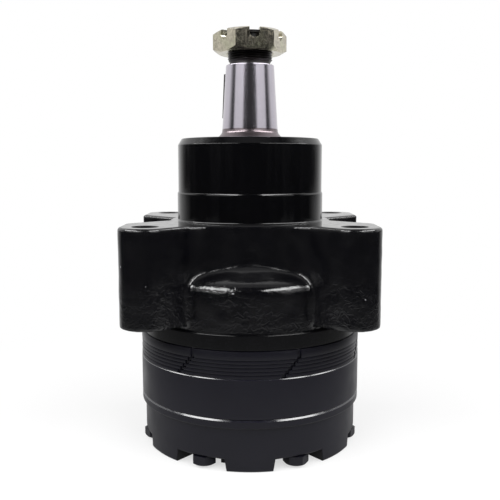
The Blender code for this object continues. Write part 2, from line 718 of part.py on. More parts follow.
def make_housing(parts, cutters):
    """Cast housing: round body, pilot, four ears, port pad, bores and holes."""
    housing = turned("housing", housing_outside(), parts, ROUND_LARGE)
    boolean(housing, make_flange(cutters), "UNION")
    pad = block("add_port_pad", (-PORT_PAD_HALF_WIDTH, SIDE_CORNER, PORT_Z - PORT_PAD_HEIGHT / 2),
                (PORT_PAD_HALF_WIDTH, PORT_PAD_Y, PORT_Z + PORT_PAD_HEIGHT / 2), cutters)
    boolean(housing, pad, "UNION")
    boolean(housing, turned("cut_bore", housing_bore(), cutters), "DIFFERENCE")
    cut_mounting_holes(housing, cutters)
    cut_ports(housing, cutters)
    return finish(housing, "black_paint")


def taper_radius(height):
    """Radius of the shaft's taper at a height."""
    return TAPER_RADIUS - (height - TAPER_BOTTOM) * TAPER_SLOPE


def key_outline(grow):
    """Woodruff key seen from its side: x along the taper, y out of it, grown by a gap."""
    radius = KEY_DISC_RADIUS + grow
    start = math.degrees(math.asin((KEY_FLAT + grow) / radius))
    return arc((0.0, 0.0), radius, 180.0 - start, 360.0 + start, KEY_FACETS)


def key_frame():
    """Placement of the key: its flat parallel to the taper, on its side of the shaft."""
    disc_centre = taper_radius(KEY_MIDDLE) + KEY_STAND - KEY_FLAT
    lean = Matrix.Rotation(math.atan(TAPER_SLOPE), 4, "Y")
    stand = Matrix.Rotation(-math.pi / 2, 4, "Y") @ Matrix.Rotation(math.pi / 2, 4, "X")
    side = Matrix.Rotation(math.radians(-KEY_TURN), 4, "Z")
    return side @ Matrix.Translation((-disc_centre * MM, 0.0, KEY_MIDDLE * MM)) @ lean @ stand


def key_solid(name, grow, collection, extra_stand=0.0):
    """The key, or its seat with a gap, turned into place."""
    outline = key_outline(grow)
    if extra_stand:
        left = outline[0]
        right = outline[-1]
        outline = outline + [(right[0], right[1] + extra_stand), (left[0], left[1] + extra_stand)]
    half = KEY_WIDTH / 2 + grow
    key = flat_piece(name, [outline], -half, half, collection)
    key.data.transform(key_frame() @ key.matrix_world)
    key.matrix_world = Matrix.Identity(4)
    return key


def shaft_profile():
    """Profile of the output shaft without its socket."""
    return [(0.0, SHAFT_TOP), (THREAD_RADIUS - THREAD_CHAMFER, SHAFT_TOP),
            (THREAD_RADIUS, SHAFT_TOP - THREAD_CHAMFER), (THREAD_RADIUS, THREAD_BOTTOM),
            (RELIEF_RADIUS, THREAD_BOTTOM), (RELIEF_RADIUS, TAPER_TOP), (taper_radius(TAPER_TOP), TAPER_TOP),
            (TAPER_RADIUS, TAPER_BOTTOM), (FLARE_RADIUS, FLARE_TOP), (JOURNAL_RADIUS, FLARE_BOTTOM),
            (JOURNAL_RADIUS, HUB_TOP), (HUB_RADIUS, HUB_TOP), (HUB_RADIUS, SHAFT_BOTTOM), (0.0, SHAFT_BOTTOM)]


def make_output_shaft(parts, cutters):
    """Output shaft with splined socket, key seat and cotter hole."""
    shaft = turned("output_shaft", shaft_profile(), parts)
    socket = flat_piece("cut_socket", [socket_teeth((0.0, 0.0))], SHAFT_BOTTOM - CUT_SPARE, SOCKET_TOP,
                        cutters)
    boolean(shaft, socket, "DIFFERENCE")
    seat = key_solid("cut_key_seat", FIT_GAP, cutters, extra_stand=KEY_STAND)
    boolean(shaft, seat, "DIFFERENCE")
    reach = THREAD_RADIUS + CUT_SPARE
    height = SHAFT_TOP - COTTER_BELOW_TOP
    cotter = rod("cut_cotter_hole", COTTER_RADIUS, front(NUT_TURN, reach, height),
                 front(NUT_TURN + 180.0, reach, height), cutters, 12)
    boolean(shaft, cotter, "DIFFERENCE")
    return finish(shaft, "ground_steel")


def nut_chamfer_profile():
    """Double cone that rounds the nut's corners."""
    corner = NUT_FLATS / math.sqrt(3) + CUT_SPARE / 2
    face = NUT_FLATS / 2 * NUT_FACE_SHARE
    rise = (corner - face) * math.tan(math.radians(NUT_CHAMFER_TURN))
    return [(0.0, NUT_TOP), (face, NUT_TOP), (corner, NUT_TOP - rise), (corner, NUT_BOTTOM + rise),
            (face, NUT_BOTTOM), (0.0, NUT_BOTTOM)]


def slot_outline():
    """Slot seen along its length: square at the top, round at the bottom."""
    half = SLOT_WIDTH / 2
    bottom = -SLOT_DEPTH + half
    return [(half, ROOT_SPARE), (-half, ROOT_SPARE)] + arc((0.0, bottom), half, 180.0, 360.0, 6)


def make_castle_nut(parts, cutters):
    """Slotted hexagon nut on the shaft's thread."""
    corner = NUT_FLATS / math.sqrt(3)
    side = 360.0 / HEXAGON
    nut = rod("castle_nut", corner, (0, 0, NUT_BOTTOM), (0, 0, NUT_TOP), parts, HEXAGON)
    nut.data.transform(Matrix.Rotation(math.radians(NUT_TURN + side / 2), 4, "Z"))
    boolean(nut, turned("keep_nut_chamfer", nut_chamfer_profile(), cutters, 36), "INTERSECT")
    bore = rod("cut_nut_bore", THREAD_RADIUS + FIT_GAP, (0, 0, NUT_BOTTOM - CUT_SPARE),
               (0, 0, NUT_TOP + CUT_SPARE), cutters, ROUND_BORE)
    boolean(nut, bore, "DIFFERENCE")
    for i in range(HEXAGON // 2):
        slot = flat_piece(f"cut_slot_{i + 1}", [slot_outline()], -NUT_FLATS, NUT_FLATS, cutters)
        across = Matrix.Rotation(math.radians(NUT_TURN + side * i), 4, "Z") @ Matrix.Rotation(math.pi / 2, 4, "X")
        slot.data.transform(Matrix.Translation((0, 0, NUT_TOP * MM)) @ across @ slot.matrix_world)
        slot.matrix_world = Matrix.Identity(4)
        boolean(nut, slot, "DIFFERENCE")
    return finish(nut, "yellow_zinc")


def make_drive_link(parts, cutters):
    """Double-splined link that leans from the shaft's axis to the rotor's centre."""
    neck = rod("drive_link", LINK_NECK_RADIUS, (0, 0, LINK_BOTTOM), (0, 0, LINK_TOP), parts, 16)
    for name, middle in (("lower", ROTOR_MIDDLE), ("upper", LINK_PIVOT_HEIGHT)):
        teeth = flat_piece(f"add_{name}_teeth", [link_teeth((0.0, 0.0))], middle - SPLINE_HALF_LENGTH,
                           middle + SPLINE_HALF_LENGTH, cutters)
        boolean(neck, teeth, "UNION")
    bpy.context.view_layer.update()
    link = as_mesh(neck, parts)
    pivot = Vector((0, 0, LINK_PIVOT_HEIGHT)) * MM
    lean = Matrix.Rotation(-LINK_TILT, 4, "X")
    link.data.transform(lean @ Matrix.Translation(-pivot))
    link.matrix_world = Matrix.Translation(pivot)
    return finish(link, "dark_steel")


def make_link_wafer(parts):
    """Thrust wafer that lies in the rotor's bore under the link."""
    wafer = rod("link_wafer", WAFER_RADIUS, (0, -ECCENTRICITY, ROTOR_BOTTOM),
                (0, -ECCENTRICITY, ROTOR_BOTTOM + WAFER_HEIGHT), parts, 24)
    set_origin(wafer, (0, 0, ROTOR_BOTTOM))
    return finish(wafer, "bronze")


def roller_cage_outlines(inner, outer):
    """Inner and outer edge of a cage with its rollers standing proud on both sides."""
    middle = (inner + outer) / 2
    radius = (outer - inner) / 2
    half_cage = CAGE_WALL / 2
    pitch = 360.0 / BEARING_ROLLERS
    rise = math.degrees(math.asin(half_cage / radius))
    outside = []
    inside = []
    for i in range(BEARING_ROLLERS):
        angle = pitch * i
        turn = math.radians(angle)
        centre = (middle * math.cos(turn), middle * math.sin(turn))
        outside += arc(centre, radius, angle - 90.0 + rise, angle + 90.0 - rise, 5)
        inside += arc(centre, radius, angle - 90.0 - rise, angle - 270.0 + rise, 5)
    return outside, inside


def make_radial_bearing(name, journal, bore, bottom, length, parts):
    """Outer race pressed in the housing, and the caged rollers that run in it."""
    race_outer = bore - FIT_GAP
    race_inner = race_outer - RACE_WALL
    race = turned(name + "_race", tube_profile(race_inner, race_outer, bottom, bottom + length), parts)
    finish(race, "bearing_steel")
    outlines = roller_cage_outlines(journal + RUN_GAP, race_inner - RUN_GAP)
    low = bottom + RACE_OVERLAP
    rollers = flat_piece(name + "_rollers", outlines, low, low + length - 2 * RACE_OVERLAP, parts)
    set_origin(rollers, (0, 0, bottom))
    finish(rollers, "bearing_steel")


def make_thrust_bearing(parts, cutters):
    """Caged radial rollers on the hub's shoulder, under a hardened washer."""
    bottom = HUB_TOP + RUN_GAP
    inner = JOURNAL_RADIUS + 2 * RUN_GAP
    outer = THRUST_BORE_RADIUS - 2 * RUN_GAP
    middle = bottom + THRUST_ROLLER_RADIUS
    half_cage = THRUST_ROLLER_RADIUS * THRUST_CAGE_SHARE
    cage = turned("thrust_bearing_rollers",
                  tube_profile(inner, outer, middle - half_cage, middle + half_cage), parts)
    for i in range(THRUST_ROLLERS):
        angle = 360.0 / THRUST_ROLLERS * i + THRUST_FIRST_ANGLE
        roller = rod(f"add_thrust_roller_{i + 1}", THRUST_ROLLER_RADIUS,
                     front(angle, inner + THRUST_ROLLER_INSET, middle),
                     front(angle, outer - THRUST_ROLLER_INSET, middle), cutters)
        boolean(cage, roller, "UNION")
    finish(cage, "bearing_steel")
    washer_bottom = bottom + 2 * THRUST_ROLLER_RADIUS + RUN_GAP
    washer = tube_profile(inner, THRUST_BORE_RADIUS - FIT_GAP, washer_bottom, washer_bottom + THRUST_RACE)
    finish(turned("thrust_washer", washer, parts), "bearing_steel")


def front_bearing_bottom():
    """Lower face of the front bearing, on the housing's web."""
    return WEB_TOP + FIT_GAP


def backup_washer_bottom():
    """Lower face of the washer over the front bearing."""
    return front_bearing_bottom() + FRONT_BEARING_LENGTH + FIT_GAP


def shaft_seal_bottom():
    """Lower face of the pressure seal."""
    return backup_washer_bottom() + BACKUP_WASHER + FIT_GAP


def snap_ring_bottom():
    """Lower face of the snap ring that holds the seal."""
    return shaft_seal_bottom() + SHAFT_SEAL_LENGTH + FIT_GAP


def make_seals(parts):
    """Backup washer, pressure seal, snap ring and dust seal, from the front bearing out."""
    outer = FRONT_BORE_RADIUS - FIT_GAP
    inner = JOURNAL_RADIUS + RUN_GAP
    low = backup_washer_bottom()
    washer = tube_profile(inner + RUN_GAP, outer, low, low + BACKUP_WASHER)
    finish(turned("seal_backup_washer", washer, parts), "dark_steel")

    low = shaft_seal_bottom()
    top = low + SHAFT_SEAL_LENGTH
    lip = low + SEAL_LIP_LAND
    seal = [(outer, top), (outer, low), (inner + SEAL_LIP, low), (inner, lip), (inner, lip + SEAL_LIP_LAND),
            (inner + SEAL_LIP, lip + SEAL_LIP), (inner + SEAL_LIP, top)]
    finish(turned("shaft_seal", seal, parts), "seal_rubber")

    low = snap_ring_bottom()
    ring_outer = FRONT_BORE_RADIUS + SNAP_RING_GROOVE - FIT_GAP
    ring_inner = ring_outer - SNAP_RING_WIDTH
    start = -90.0 + SNAP_RING_OPENING / 2
    end = 270.0 - SNAP_RING_OPENING / 2
    outline = arc((0, 0), ring_outer, start, end, ROUND_BORE - 2)
    outline += arc((0, 0), ring_inner, end, start, ROUND_BORE - 2)
    finish(flat_piece("snap_ring", [outline], low, low + SNAP_RING, parts), "dark_steel")

    top = PILOT_TOP - DUST_SEAL_INSET
    low = top - DUST_SEAL_LENGTH
    dust = [(inner + SEAL_LIP, top), (outer, top), (outer, low), (inner + SEAL_LIP, low),
            (inner + SEAL_LIP, top - DUST_LIP_HEIGHT), (inner, top - SEAL_LIP_LAND),
            (inner, top - DUST_LIP_BELOW)]
    finish(turned("dust_seal", dust, parts), "seal_rubber")


def make_shaft_key(parts):
    """Woodruff key in the taper's seat."""
    return finish(key_solid("shaft_key", 0.0, parts), "dark_steel")


def main():
    """Model every piece of the motor."""
    clear_scene()
    parts = new_collection("hydraulic_motor")
    cutters = new_collection("cutters")
    make_end_cover(parts, cutters)
    make_bolts(parts, cutters)
    make_rotor_ring(parts, cutters)
    make_rotor(parts)
    make_rotor_rollers(parts)
    make_manifold_plates(parts)
    make_body_seal("cover_seal", COVER_HEIGHT, parts)
    make_body_seal("ring_seal", RING_BOTTOM + RING_HEIGHT, parts)
    make_housing(parts, cutters)
    make_output_shaft(parts, cutters)
    make_shaft_key(parts)
    make_castle_nut(parts, cutters)
    make_drive_link(parts, cutters)
    make_link_wafer(parts)
    make_radial_bearing("rear_bearing", HUB_RADIUS, CAVITY_RADIUS, REAR_BEARING_BOTTOM,
                        CAVITY_TOP - FIT_GAP - REAR_BEARING_BOTTOM, parts)
    make_radial_bearing("front_bearing", JOURNAL_RADIUS, FRONT_BORE_RADIUS, front_bearing_bottom(),
                        FRONT_BEARING_LENGTH, parts)
    make_thrust_bearing(parts, cutters)
    make_seals(parts)


main()
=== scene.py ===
"""Visible surfaces and finishes of a wheel-mount orbital hydraulic motor, built round its fixed frame.

The shaft stands along +Z, the front of the motor faces -Y, and every size is in metres.
"""

import json
import math

import bmesh
import bpy
import numpy as np
from bpy.props import FloatProperty, FloatVectorProperty, IntProperty, PointerProperty
from mathutils import Matrix, Vector, noise


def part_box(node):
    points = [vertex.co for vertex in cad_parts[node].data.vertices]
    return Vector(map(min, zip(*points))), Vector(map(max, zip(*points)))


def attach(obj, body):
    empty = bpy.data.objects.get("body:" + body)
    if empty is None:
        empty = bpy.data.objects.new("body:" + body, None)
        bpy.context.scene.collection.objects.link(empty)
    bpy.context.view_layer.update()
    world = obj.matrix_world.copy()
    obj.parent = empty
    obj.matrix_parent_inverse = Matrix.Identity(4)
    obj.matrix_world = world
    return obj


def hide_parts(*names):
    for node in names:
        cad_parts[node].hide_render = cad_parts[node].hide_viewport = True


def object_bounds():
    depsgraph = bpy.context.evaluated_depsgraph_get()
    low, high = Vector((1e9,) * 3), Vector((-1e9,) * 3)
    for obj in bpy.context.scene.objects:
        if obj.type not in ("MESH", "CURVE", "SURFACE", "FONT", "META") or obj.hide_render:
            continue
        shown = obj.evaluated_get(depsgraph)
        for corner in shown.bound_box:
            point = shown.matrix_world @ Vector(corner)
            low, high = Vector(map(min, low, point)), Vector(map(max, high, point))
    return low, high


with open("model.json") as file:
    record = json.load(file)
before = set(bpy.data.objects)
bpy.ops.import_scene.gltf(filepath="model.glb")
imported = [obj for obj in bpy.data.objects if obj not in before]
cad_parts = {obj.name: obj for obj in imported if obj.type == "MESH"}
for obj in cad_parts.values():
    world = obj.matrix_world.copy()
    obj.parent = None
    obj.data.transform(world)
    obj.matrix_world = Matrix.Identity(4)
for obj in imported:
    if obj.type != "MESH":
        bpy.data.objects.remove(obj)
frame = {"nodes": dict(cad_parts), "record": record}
CAD_LOW, CAD_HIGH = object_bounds()

bl_info = {
    "name": "Hydraulic Motor",
    "version": (1, 0, 0),
    "blender": (4, 5, 0),
    "location": "View3D > Sidebar > Motor",
    "description": "Builds the cast, machined and plated surfaces of a wheel-mount hydraulic motor",
    "category": "Add Mesh",
}

# ---------------------------------------------------------------- places taken from the frame


def mount_place(name):
    """Point of one of the record's mounts."""
    found = [mount for mount in frame["record"]["mounts"] if mount["name"] == name]
    return Vector(found[0]["pos_m"])


def heights(node):
    """Lowest and highest Z of a CAD node."""
    low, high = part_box(node)
    return low.z, high.z


FLANGE_TOP = mount_place("flange_face").z
PORT_CENTRE_HEIGHT = mount_place("port_pad_face").z
PORT_PAD_FACE = mount_place("port_pad_face").y
HOUSING_BOTTOM, PILOT_TOP = heights("housing")
EAR_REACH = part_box("housing")[1].x
RING_BOTTOM, RING_TOP = heights("rotor_ring")
RING_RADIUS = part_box("rotor_ring")[1].y
COVER_TOP = heights("end_cover")[1]
COVER_LIP_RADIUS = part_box("end_cover")[1].y
PLATE_NODES = ["manifold_plate_1", "manifold_plate_2", "manifold_plate_3", "manifold_plate_4",
               "manifold_plate_5", "wear_plate"]
PLATE_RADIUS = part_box("wear_plate")[1].y
SHAFT_BOTTOM, SHAFT_TOP = heights("output_shaft")
NUT_BOTTOM, NUT_TOP = heights("castle_nut")
BOLT_BOTTOM, BOLT_TOP = heights("cover_bolt_1")
DUST_SEAL_BOTTOM, DUST_SEAL_TOP = heights("dust_seal")
CLAMP_BOLTS = 7
CLAMP_PITCH = 2 * math.pi / CLAMP_BOLTS
CLEARANCE = 0.0003        # gap round a bolt, a key or a journal
CUT_SPARE = 0.001         # how far a cutting solid stands past the face that it opens
BOLT_SPARE = 0.003        # room over a clamping bolt's tip
SEAL_OUTER = 0.0499       # groove of a body seal
SEAL_INNER = 0.0473
SEAL_DEPTH = 0.0023
STEP_LEAN = 0.38          # depth of the chamfer on the pilot's step for each unit of its height
EDGE_LEAN = 0.70          # the same for the chamfers of the ring and the cover's lip
RIM_BITE = 0.001          # how far the cast body stands over the housing's lower face, inside its rim

# ---------------------------------------------------------------- sizes and colours a user may change


def length(name, description, default):
    """A length in metres."""
    return FloatProperty(name=name, description=description, default=default, min=0.0, unit="LENGTH",
                         subtype="DISTANCE", precision=5)


def turn(name, description, default):
    """An angle, given in degrees."""
    return FloatProperty(name=name, description=description, default=math.radians(default),
                         unit="ROTATION", subtype="ANGLE")


def tint(name, description, default):
    """A linear colour."""
    return FloatVectorProperty(name=name, description=description, default=default, size=3, min=0.0, max=1.0,
                               subtype="COLOR")


class HousingSizes(bpy.types.PropertyGroup):
    """Sizes of the cast housing."""
    grain: length("Cast grain", "Cell size of the cast skin before it is smoothed", 0.0008)
    easing: IntProperty(name="Edge easing", description="Smoothing passes over the cast edges", default=16)
    rim_radius: length("Rim radius", "Rim that meets the plates", 0.0625)
    rim_height: length("Rim height", "Height of that rim", 0.0081)
    body_radius: length("Body radius", "Round body above the rim", 0.0608)
    body_top: length("Body top", "Height where the shoulder starts", 0.097)
    shoulder_top: length("Shoulder top", "Height where the shoulder meets the neck", 0.1052)
    neck_radius: length("Neck radius", "Round neck between the shoulder and the flange", 0.0465)
    hood_ease: length("Upper rounding", "Hollow rounding at the top of the shoulder", 0.0085)
    shoulder_ease: length("Lower rounding", "Rounding at the bottom of the shoulder", 0.0072)
    web_ease: length("Web rounding", "Hollow rounding where the neck meets the ears' webs", 0.016)
    flange_bottom: length("Flange bottom", "Underside of the four ears", 0.0755)
    ear_spacing: length("Ear spacing", "Distance between two ear holes", 0.1064)
    ear_radius: length("Ear radius", "Round end of an ear", 0.014)
    ear_hole: length("Ear hole", "Radius of an ear hole", 0.00675)
    side_corner: length("Side corner", "Half distance between the side corners of the ears", 0.032)
    side_neck: length("Side neck", "Flange half width between the ears", 0.045)
    pilot_lower: length("Lower pilot", "Pilot radius below its step", 0.0418)
    pilot_step: length("Pilot step", "Height of the pilot's step", 0.143)
    step_chamfer: length("Step chamfer", "Height of the steep chamfer on that step", 0.0008)
    pilot_radius: length("Pilot radius", "Pilot radius above its step", 0.041275)
    chamfer_rise: length("Chamfer rise", "Height of the chamfer on the pilot", 0.0035)
    chamfer_in: length("Chamfer depth", "Depth of the chamfer on the pilot", 0.0021)
    pad_half_width: length("Pad half width", "Half width of the port pad", 0.035)
    pad_bottom: length("Pad bottom", "Lower edge of the port pad", 0.081)
    pad_top: length("Pad top", "Upper edge of the port pad", 0.113)
    port_offset: length("Port offset", "Distance of a port from the middle", 0.0175)
    port_radius: length("Port radius", "Bore of a port at its thread", 0.0103)
    port_depth: length("Port depth", "Depth of a port", 0.016)
    front_bore: length("Front bore", "Bore that holds the front bearing and the seals", 0.0275)


class CoverSizes(bpy.types.PropertyGroup):
    """Sizes of the end cover and its bolts."""
    radius: length("Cover radius", "Outside of the cover below its lip", 0.0616)
    lip_height: length("Lip height", "Height of the lip under the ring", 0.0043)
    lip_chamfer: length("Lip chamfer", "Height of the steep chamfer on the lip", 0.0008)
    pocket_depth: length("Pocket depth", "Depth of a bolt pocket", 0.0066)
    pocket_inner: length("Pocket inner radius", "Radius where a pocket ends", 0.0475)
    lug_half_angle: turn("Lug half angle", "Half of a rim lug between two pockets", 12.0)
    lug_ease: length("Lug rounding", "Rounding of the lugs' sides", 0.0010)
    foot_ease: length("Foot rounding", "Rounding of the lower outer edge", 0.0012)
    bolt_circle: length("Bolt circle", "Radius that the bolts stand on", 0.056)
    bolt_radius: length("Bolt radius", "Shank of a bolt", 0.0037)
    head_flats: length("Head width", "Bolt head across its flats", 0.012)
    head_height: length("Head height", "Height of a bolt head", 0.005)


class StackSizes(bpy.types.PropertyGroup):
    """Sizes of the rotor ring and the plates."""
    edge_ease: length("Edge rounding", "Rounding of the ring's edges", 0.0005)
    ring_chamfer: length("Ring chamfer", "Height of the steep chamfer at the ring's top", 0.0004)
    plate_ease: length("Plate edge rounding", "Rounding of a plate's edges", 0.00018)
    bore: length("Plate bore", "Bore of the plates", 0.019)
    notch_depth: length("Notch depth", "Depth of a rim notch", 0.0012)
    notch_width: length("Notch width", "Width of a rim notch", 0.0024)
    notch_first: turn("First notch", "Angle of the thick plate's notch from the front", 23.5)
    notch_step: turn("Notch step", "Angle that each plate below steps round", 1.55)


class ShaftSizes(bpy.types.PropertyGroup):
    """Sizes of the output shaft and its key."""
    hub: length("Hub radius", "Hub inside the rear bearing", 0.024)
    hub_top: length("Hub top", "Height of the hub's shoulder", 0.1045)
    journal: length("Journal radius", "Journal in the front bearing", 0.01905)
    flare_bottom: length("Flare bottom", "Height where the flare starts", 0.1732)
    flare_top: length("Flare top", "Height where the flare ends", 0.1764)
    flare: length("Flare radius", "Radius at the top of the flare", 0.0161)
    flare_ease: length("Flare rounding", "Hollow rounding under the flare's top", 0.0028)
    taper_bottom: length("Taper bottom", "Height where the taper starts", 0.1783)
    taper: length("Taper radius", "Radius at the bottom of the taper", 0.015875)
    taper_top: length("Taper top", "Height where the taper ends", 0.21425)
    taper_slope: FloatProperty(name="Taper slope", description="Radius lost over height", default=1.0 / 16.0)
    relief: length("Relief radius", "Thread relief", 0.0114)
    relief_length: length("Relief length", "Height of the thread relief", 0.0019)
    thread: length("Thread radius", "Crest of the thread", 0.0126)
    pitch: length("Thread pitch", "Distance between two crests", 0.00127)
    cotter: length("Cotter hole", "Radius of the cotter pin's hole", 0.0019)
    cotter_drop: length("Cotter drop", "Distance of that hole below the shaft's end", 0.0036)
    socket_depth: length("Socket depth", "Depth of the splined socket", 0.0315)
    key_turn: turn("Key angle", "Angle of the key behind the left side", 46.0)
    key_width: length("Key width", "Width of the key", 0.0079)
    key_disc: length("Key radius", "Radius of the key's disc", 0.0127)
    key_flat: length("Key flat", "Distance of the key's flat past its disc's centre", 0.0016)
    key_stand: length("Key stand", "Height of the key over the taper", 0.00397)
    key_height: length("Key place", "Height of the key's middle", 0.1981)


class NutSizes(bpy.types.PropertyGroup):
    """Sizes of the slotted nut."""
    flats: length("Nut width", "Nut across its flats", 0.0365)
    angle: turn("Nut angle", "Angle that the nut is turned by", 8.2)
    chamfer: turn("Corner chamfer", "Slope of the chamfer over the corners", 30.0)
    slot_width: length("Slot width", "Width of a slot", 0.0058)
    slot_depth: length("Slot depth", "Depth of a slot", 0.0057)
    edge_ease: length("Edge rounding", "Rounding of the nut's edges", 0.00022)


class FinishColours(bpy.types.PropertyGroup):
    """Base colours of the finishes."""
    black_paint: tint("Black paint", "Gloss enamel of the housing", (0.0016, 0.0016, 0.0024))
    satin_black: tint("Satin black", "Coating of ring, plates and cover", (0.0052, 0.0050, 0.0088))
    ground_steel: tint("Ground steel", "Output shaft", (0.56, 0.53, 0.59))
    dark_steel: tint("Dark steel", "Key, link, washer and snap ring", (0.18, 0.17, 0.17))
    yellow_zinc: tint("Yellow zinc", "Plating of the slotted nut", (0.54, 0.50, 0.40))
    bearing_steel: tint("Bearing steel", "Rotor, rollers and races", (0.55, 0.56, 0.58))
    seal_rubber: tint("Seal rubber", "Seals", (0.018, 0.018, 0.019))
    bronze: tint("Bronze", "Thrust wafer", (0.55, 0.38, 0.18))


# ---------------------------------------------------------------- shapes


def front(angle, radius, height=0.0):
    """A point at an angle from the front (-Y), counted towards +X."""
    return Vector((radius * math.sin(angle), -radius * math.cos(angle), height))


def eased(corners, closed=False, steps=5):
    """Points through (x, y, rounding) corners, with each rounding as an arc."""
    points = []
    count = len(corners)
    for i, (x, y, ease) in enumerate(corners):
        here = Vector((x, y))
        end = not closed and i in (0, count - 1)
        if ease == 0 or end:
            points.append(here)
            continue
        before = (Vector(corners[i - 1][:2]) - here).normalized()
        after = (Vector(corners[(i + 1) % count][:2]) - here).normalized()
        half = before.angle(after) / 2
        centre = here + (before + after).normalized() * ease / math.sin(half)
        start = here + before * ease / math.tan(half) - centre
        finish = here + after * ease / math.tan(half) - centre
        sweep = math.atan2(start.x * finish.y - start.y * finish.x, start.dot(finish))
        for k in range(steps + 1):
            points.append(centre + Matrix.Rotation(sweep * k / steps, 2) @ start)
    return points


def arc(centre, radius, start, end, steps):
    """Points of an arc in a plane."""
    points = []
    for i in range(steps + 1):
        angle = start + (end - start) * i / steps
        points.append(Vector((centre[0] + radius * math.cos(angle), centre[1] + radius * math.sin(angle))))
    return points


def circle(centre, radius, steps):
    """Points of a full circle."""
    return arc(centre, radius, 0.0, 2 * math.pi, steps)[:-1]


def link_object(name, data):
    """An object in the scene for a mesh, a curve, a lamp or a camera."""
    obj = bpy.data.objects.new(name, data)
    bpy.context.scene.collection.objects.link(obj)
    return obj


def tidy_mesh(mesh, weld=1e-7):
    """Weld doubled points and turn the faces outwards."""
    form = bmesh.new()
    form.from_mesh(mesh)
    bmesh.ops.remove_doubles(form, verts=form.verts, dist=weld)
    bmesh.ops.recalc_face_normals(form, faces=form.faces)
    form.to_mesh(mesh)
    form.free()


def held(section, stretches, margin=0.00025):
    """The section with a point close to both ends of these stretches, which keeps their shading flat."""
    points = []
    for i, here in enumerate(section):
        points.append(here)
        if i in stretches:
            run = section[(i + 1) % len(section)] - here
            step = run * min(1 / 3, margin / max(run.length, margin))
            points += [here + step, here + run - step]
    return points


def lathe(name, columns, profile, ring=False):
    """A round body. profile(angle) gives its (radius, height) points, down the outer side, at each angle."""
    points = []
    faces = []
    angles = [2 * math.pi * column / columns for column in range(columns)]
    sections = [[Vector(spot[:2]) for spot in profile(angle)] for angle in angles]
    first = sections[0]
    last = len(first) if ring else len(first) - 1
    stretches = {i for i in range(last) if (first[(i + 1) % len(first)] - first[i]).length > 0.002}
    for angle, section in zip(angles, sections):
        points += [front(angle, spot.x, spot.y) for spot in held(section, stretches)]
    rows = len(points) // columns
    for column in range(columns):
        here = column * rows
        there = (column + 1) % columns * rows
        for row in range(rows if ring else rows - 1):
            below = (row + 1) % rows
            faces.append((here + row, here + below, there + below, there + row))
    mesh = bpy.data.meshes.new(name)
    mesh.from_pydata(points, [], faces)
    tidy_mesh(mesh)
    return link_object(name, mesh)


def turned(name, columns, section, ring=False):
    """A round body with the same section all round."""
    return lathe(name, columns, lambda angle: section, ring)


def plate(name, outlines, bottom, top):
    """A piece with a constant outline: the first outline is its edge and the others are holes."""
    curve = bpy.data.curves.new(name, "CURVE")
    curve.dimensions = "2D"
    curve.fill_mode = "BOTH"
    curve.extrude = (top - bottom) / 2
    for outline in outlines:
        spline = curve.splines.new("POLY")
        spline.points.add(len(outline) - 1)
        for point, spot in zip(spline.points, outline):
            point.co = (spot[0], spot[1], 0.0, 1.0)
        spline.use_cyclic_u = True
    drawn = link_object(name + "_drawn", curve)
    bpy.context.view_layer.update()
    mesh = bpy.data.meshes.new_from_object(drawn.evaluated_get(bpy.context.evaluated_depsgraph_get()))
    bpy.data.objects.remove(drawn)
    bpy.data.curves.remove(curve)
    mesh.transform(Matrix.Translation((0.0, 0.0, (top + bottom) / 2)))
    tidy_mesh(mesh, 1e-6)
    mesh.name = name
    return link_object(name, mesh)


def drawn_form(name, draw, place):
    """An object for a plain bmesh form, moved to its place."""
    mesh = bpy.data.meshes.new(name)
    form = bmesh.new()
    draw(form)
    bmesh.ops.transform(form, matrix=place, verts=form.verts)
    form.to_mesh(mesh)
    form.free()
    return link_object(name, mesh)


def rod(name, radius, start, end, facets=48):
    """A straight cylinder between two points."""
    start = Vector(start)
    end = Vector(end)
    lean = Vector((0, 0, 1)).rotation_difference(end - start).to_matrix().to_4x4()

    def draw(form):
        bmesh.ops.create_cone(form, cap_ends=True, segments=facets, radius1=radius, radius2=radius,
                              depth=(end - start).length)

    return drawn_form(name, draw, Matrix.Translation((start + end) / 2) @ lean)


def block(name, low, high):
    """A box between two corners."""
    low = Vector(low)
    high = Vector(high)
    place = Matrix.Translation((low + high) / 2) @ Matrix.Diagonal((*(high - low), 1.0))
    return drawn_form(name, lambda form: bmesh.ops.create_cube(form, size=1.0), place)


def freeze(obj):
    """Replace an object's mesh with what its modifiers make."""
    bpy.context.view_layer.update()
    mesh = bpy.data.meshes.new_from_object(obj.evaluated_get(bpy.context.evaluated_depsgraph_get()))
    old = obj.data
    obj.modifiers.clear()
    obj.data = mesh
    bpy.data.meshes.remove(old)


def combine(obj, operation, tools):
    """Join, cut or intersect an object with others, which are used up."""
    for tool in tools:
        modifier = obj.modifiers.new(tool.name, "BOOLEAN")
        modifier.operation = operation
        modifier.solver = "MANIFOLD"
        modifier.object = tool
    freeze(obj)
    for tool in tools:
        mesh = tool.data
        bpy.data.objects.remove(tool)
        bpy.data.meshes.remove(mesh)


def bevel(obj, width, angle, segments=2):
    """Round the sharp edges."""
    modifier = obj.modifiers.new("Rounded edges", "BEVEL")
    modifier.width = width
    modifier.segments = segments
    modifier.limit_method = "ANGLE"
    modifier.angle_limit = math.radians(angle)


def smooth(obj, angle=32.0):
    """Shade an object smooth and keep its true edges."""
    obj.data.shade_smooth()
    obj.data.set_sharp_from_angle(angle=math.radians(angle))


def flatten(obj):
    """Keep the flat faces beside rounded edges flat in their shading."""
    modifier = obj.modifiers.new("Flat faces", "WEIGHTED_NORMAL")
    modifier.weight = 100
    modifier.keep_sharp = True


def hand_in(obj, body, slot, material, *nodes):
    """Give a piece its material and its body, shade it smooth and hide the CAD nodes it stands for. The slot
    is not used.
    """
    obj.data.materials.clear()
    obj.data.materials.append(material)
    smooth(obj)
    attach(obj, body)
    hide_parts(*nodes)


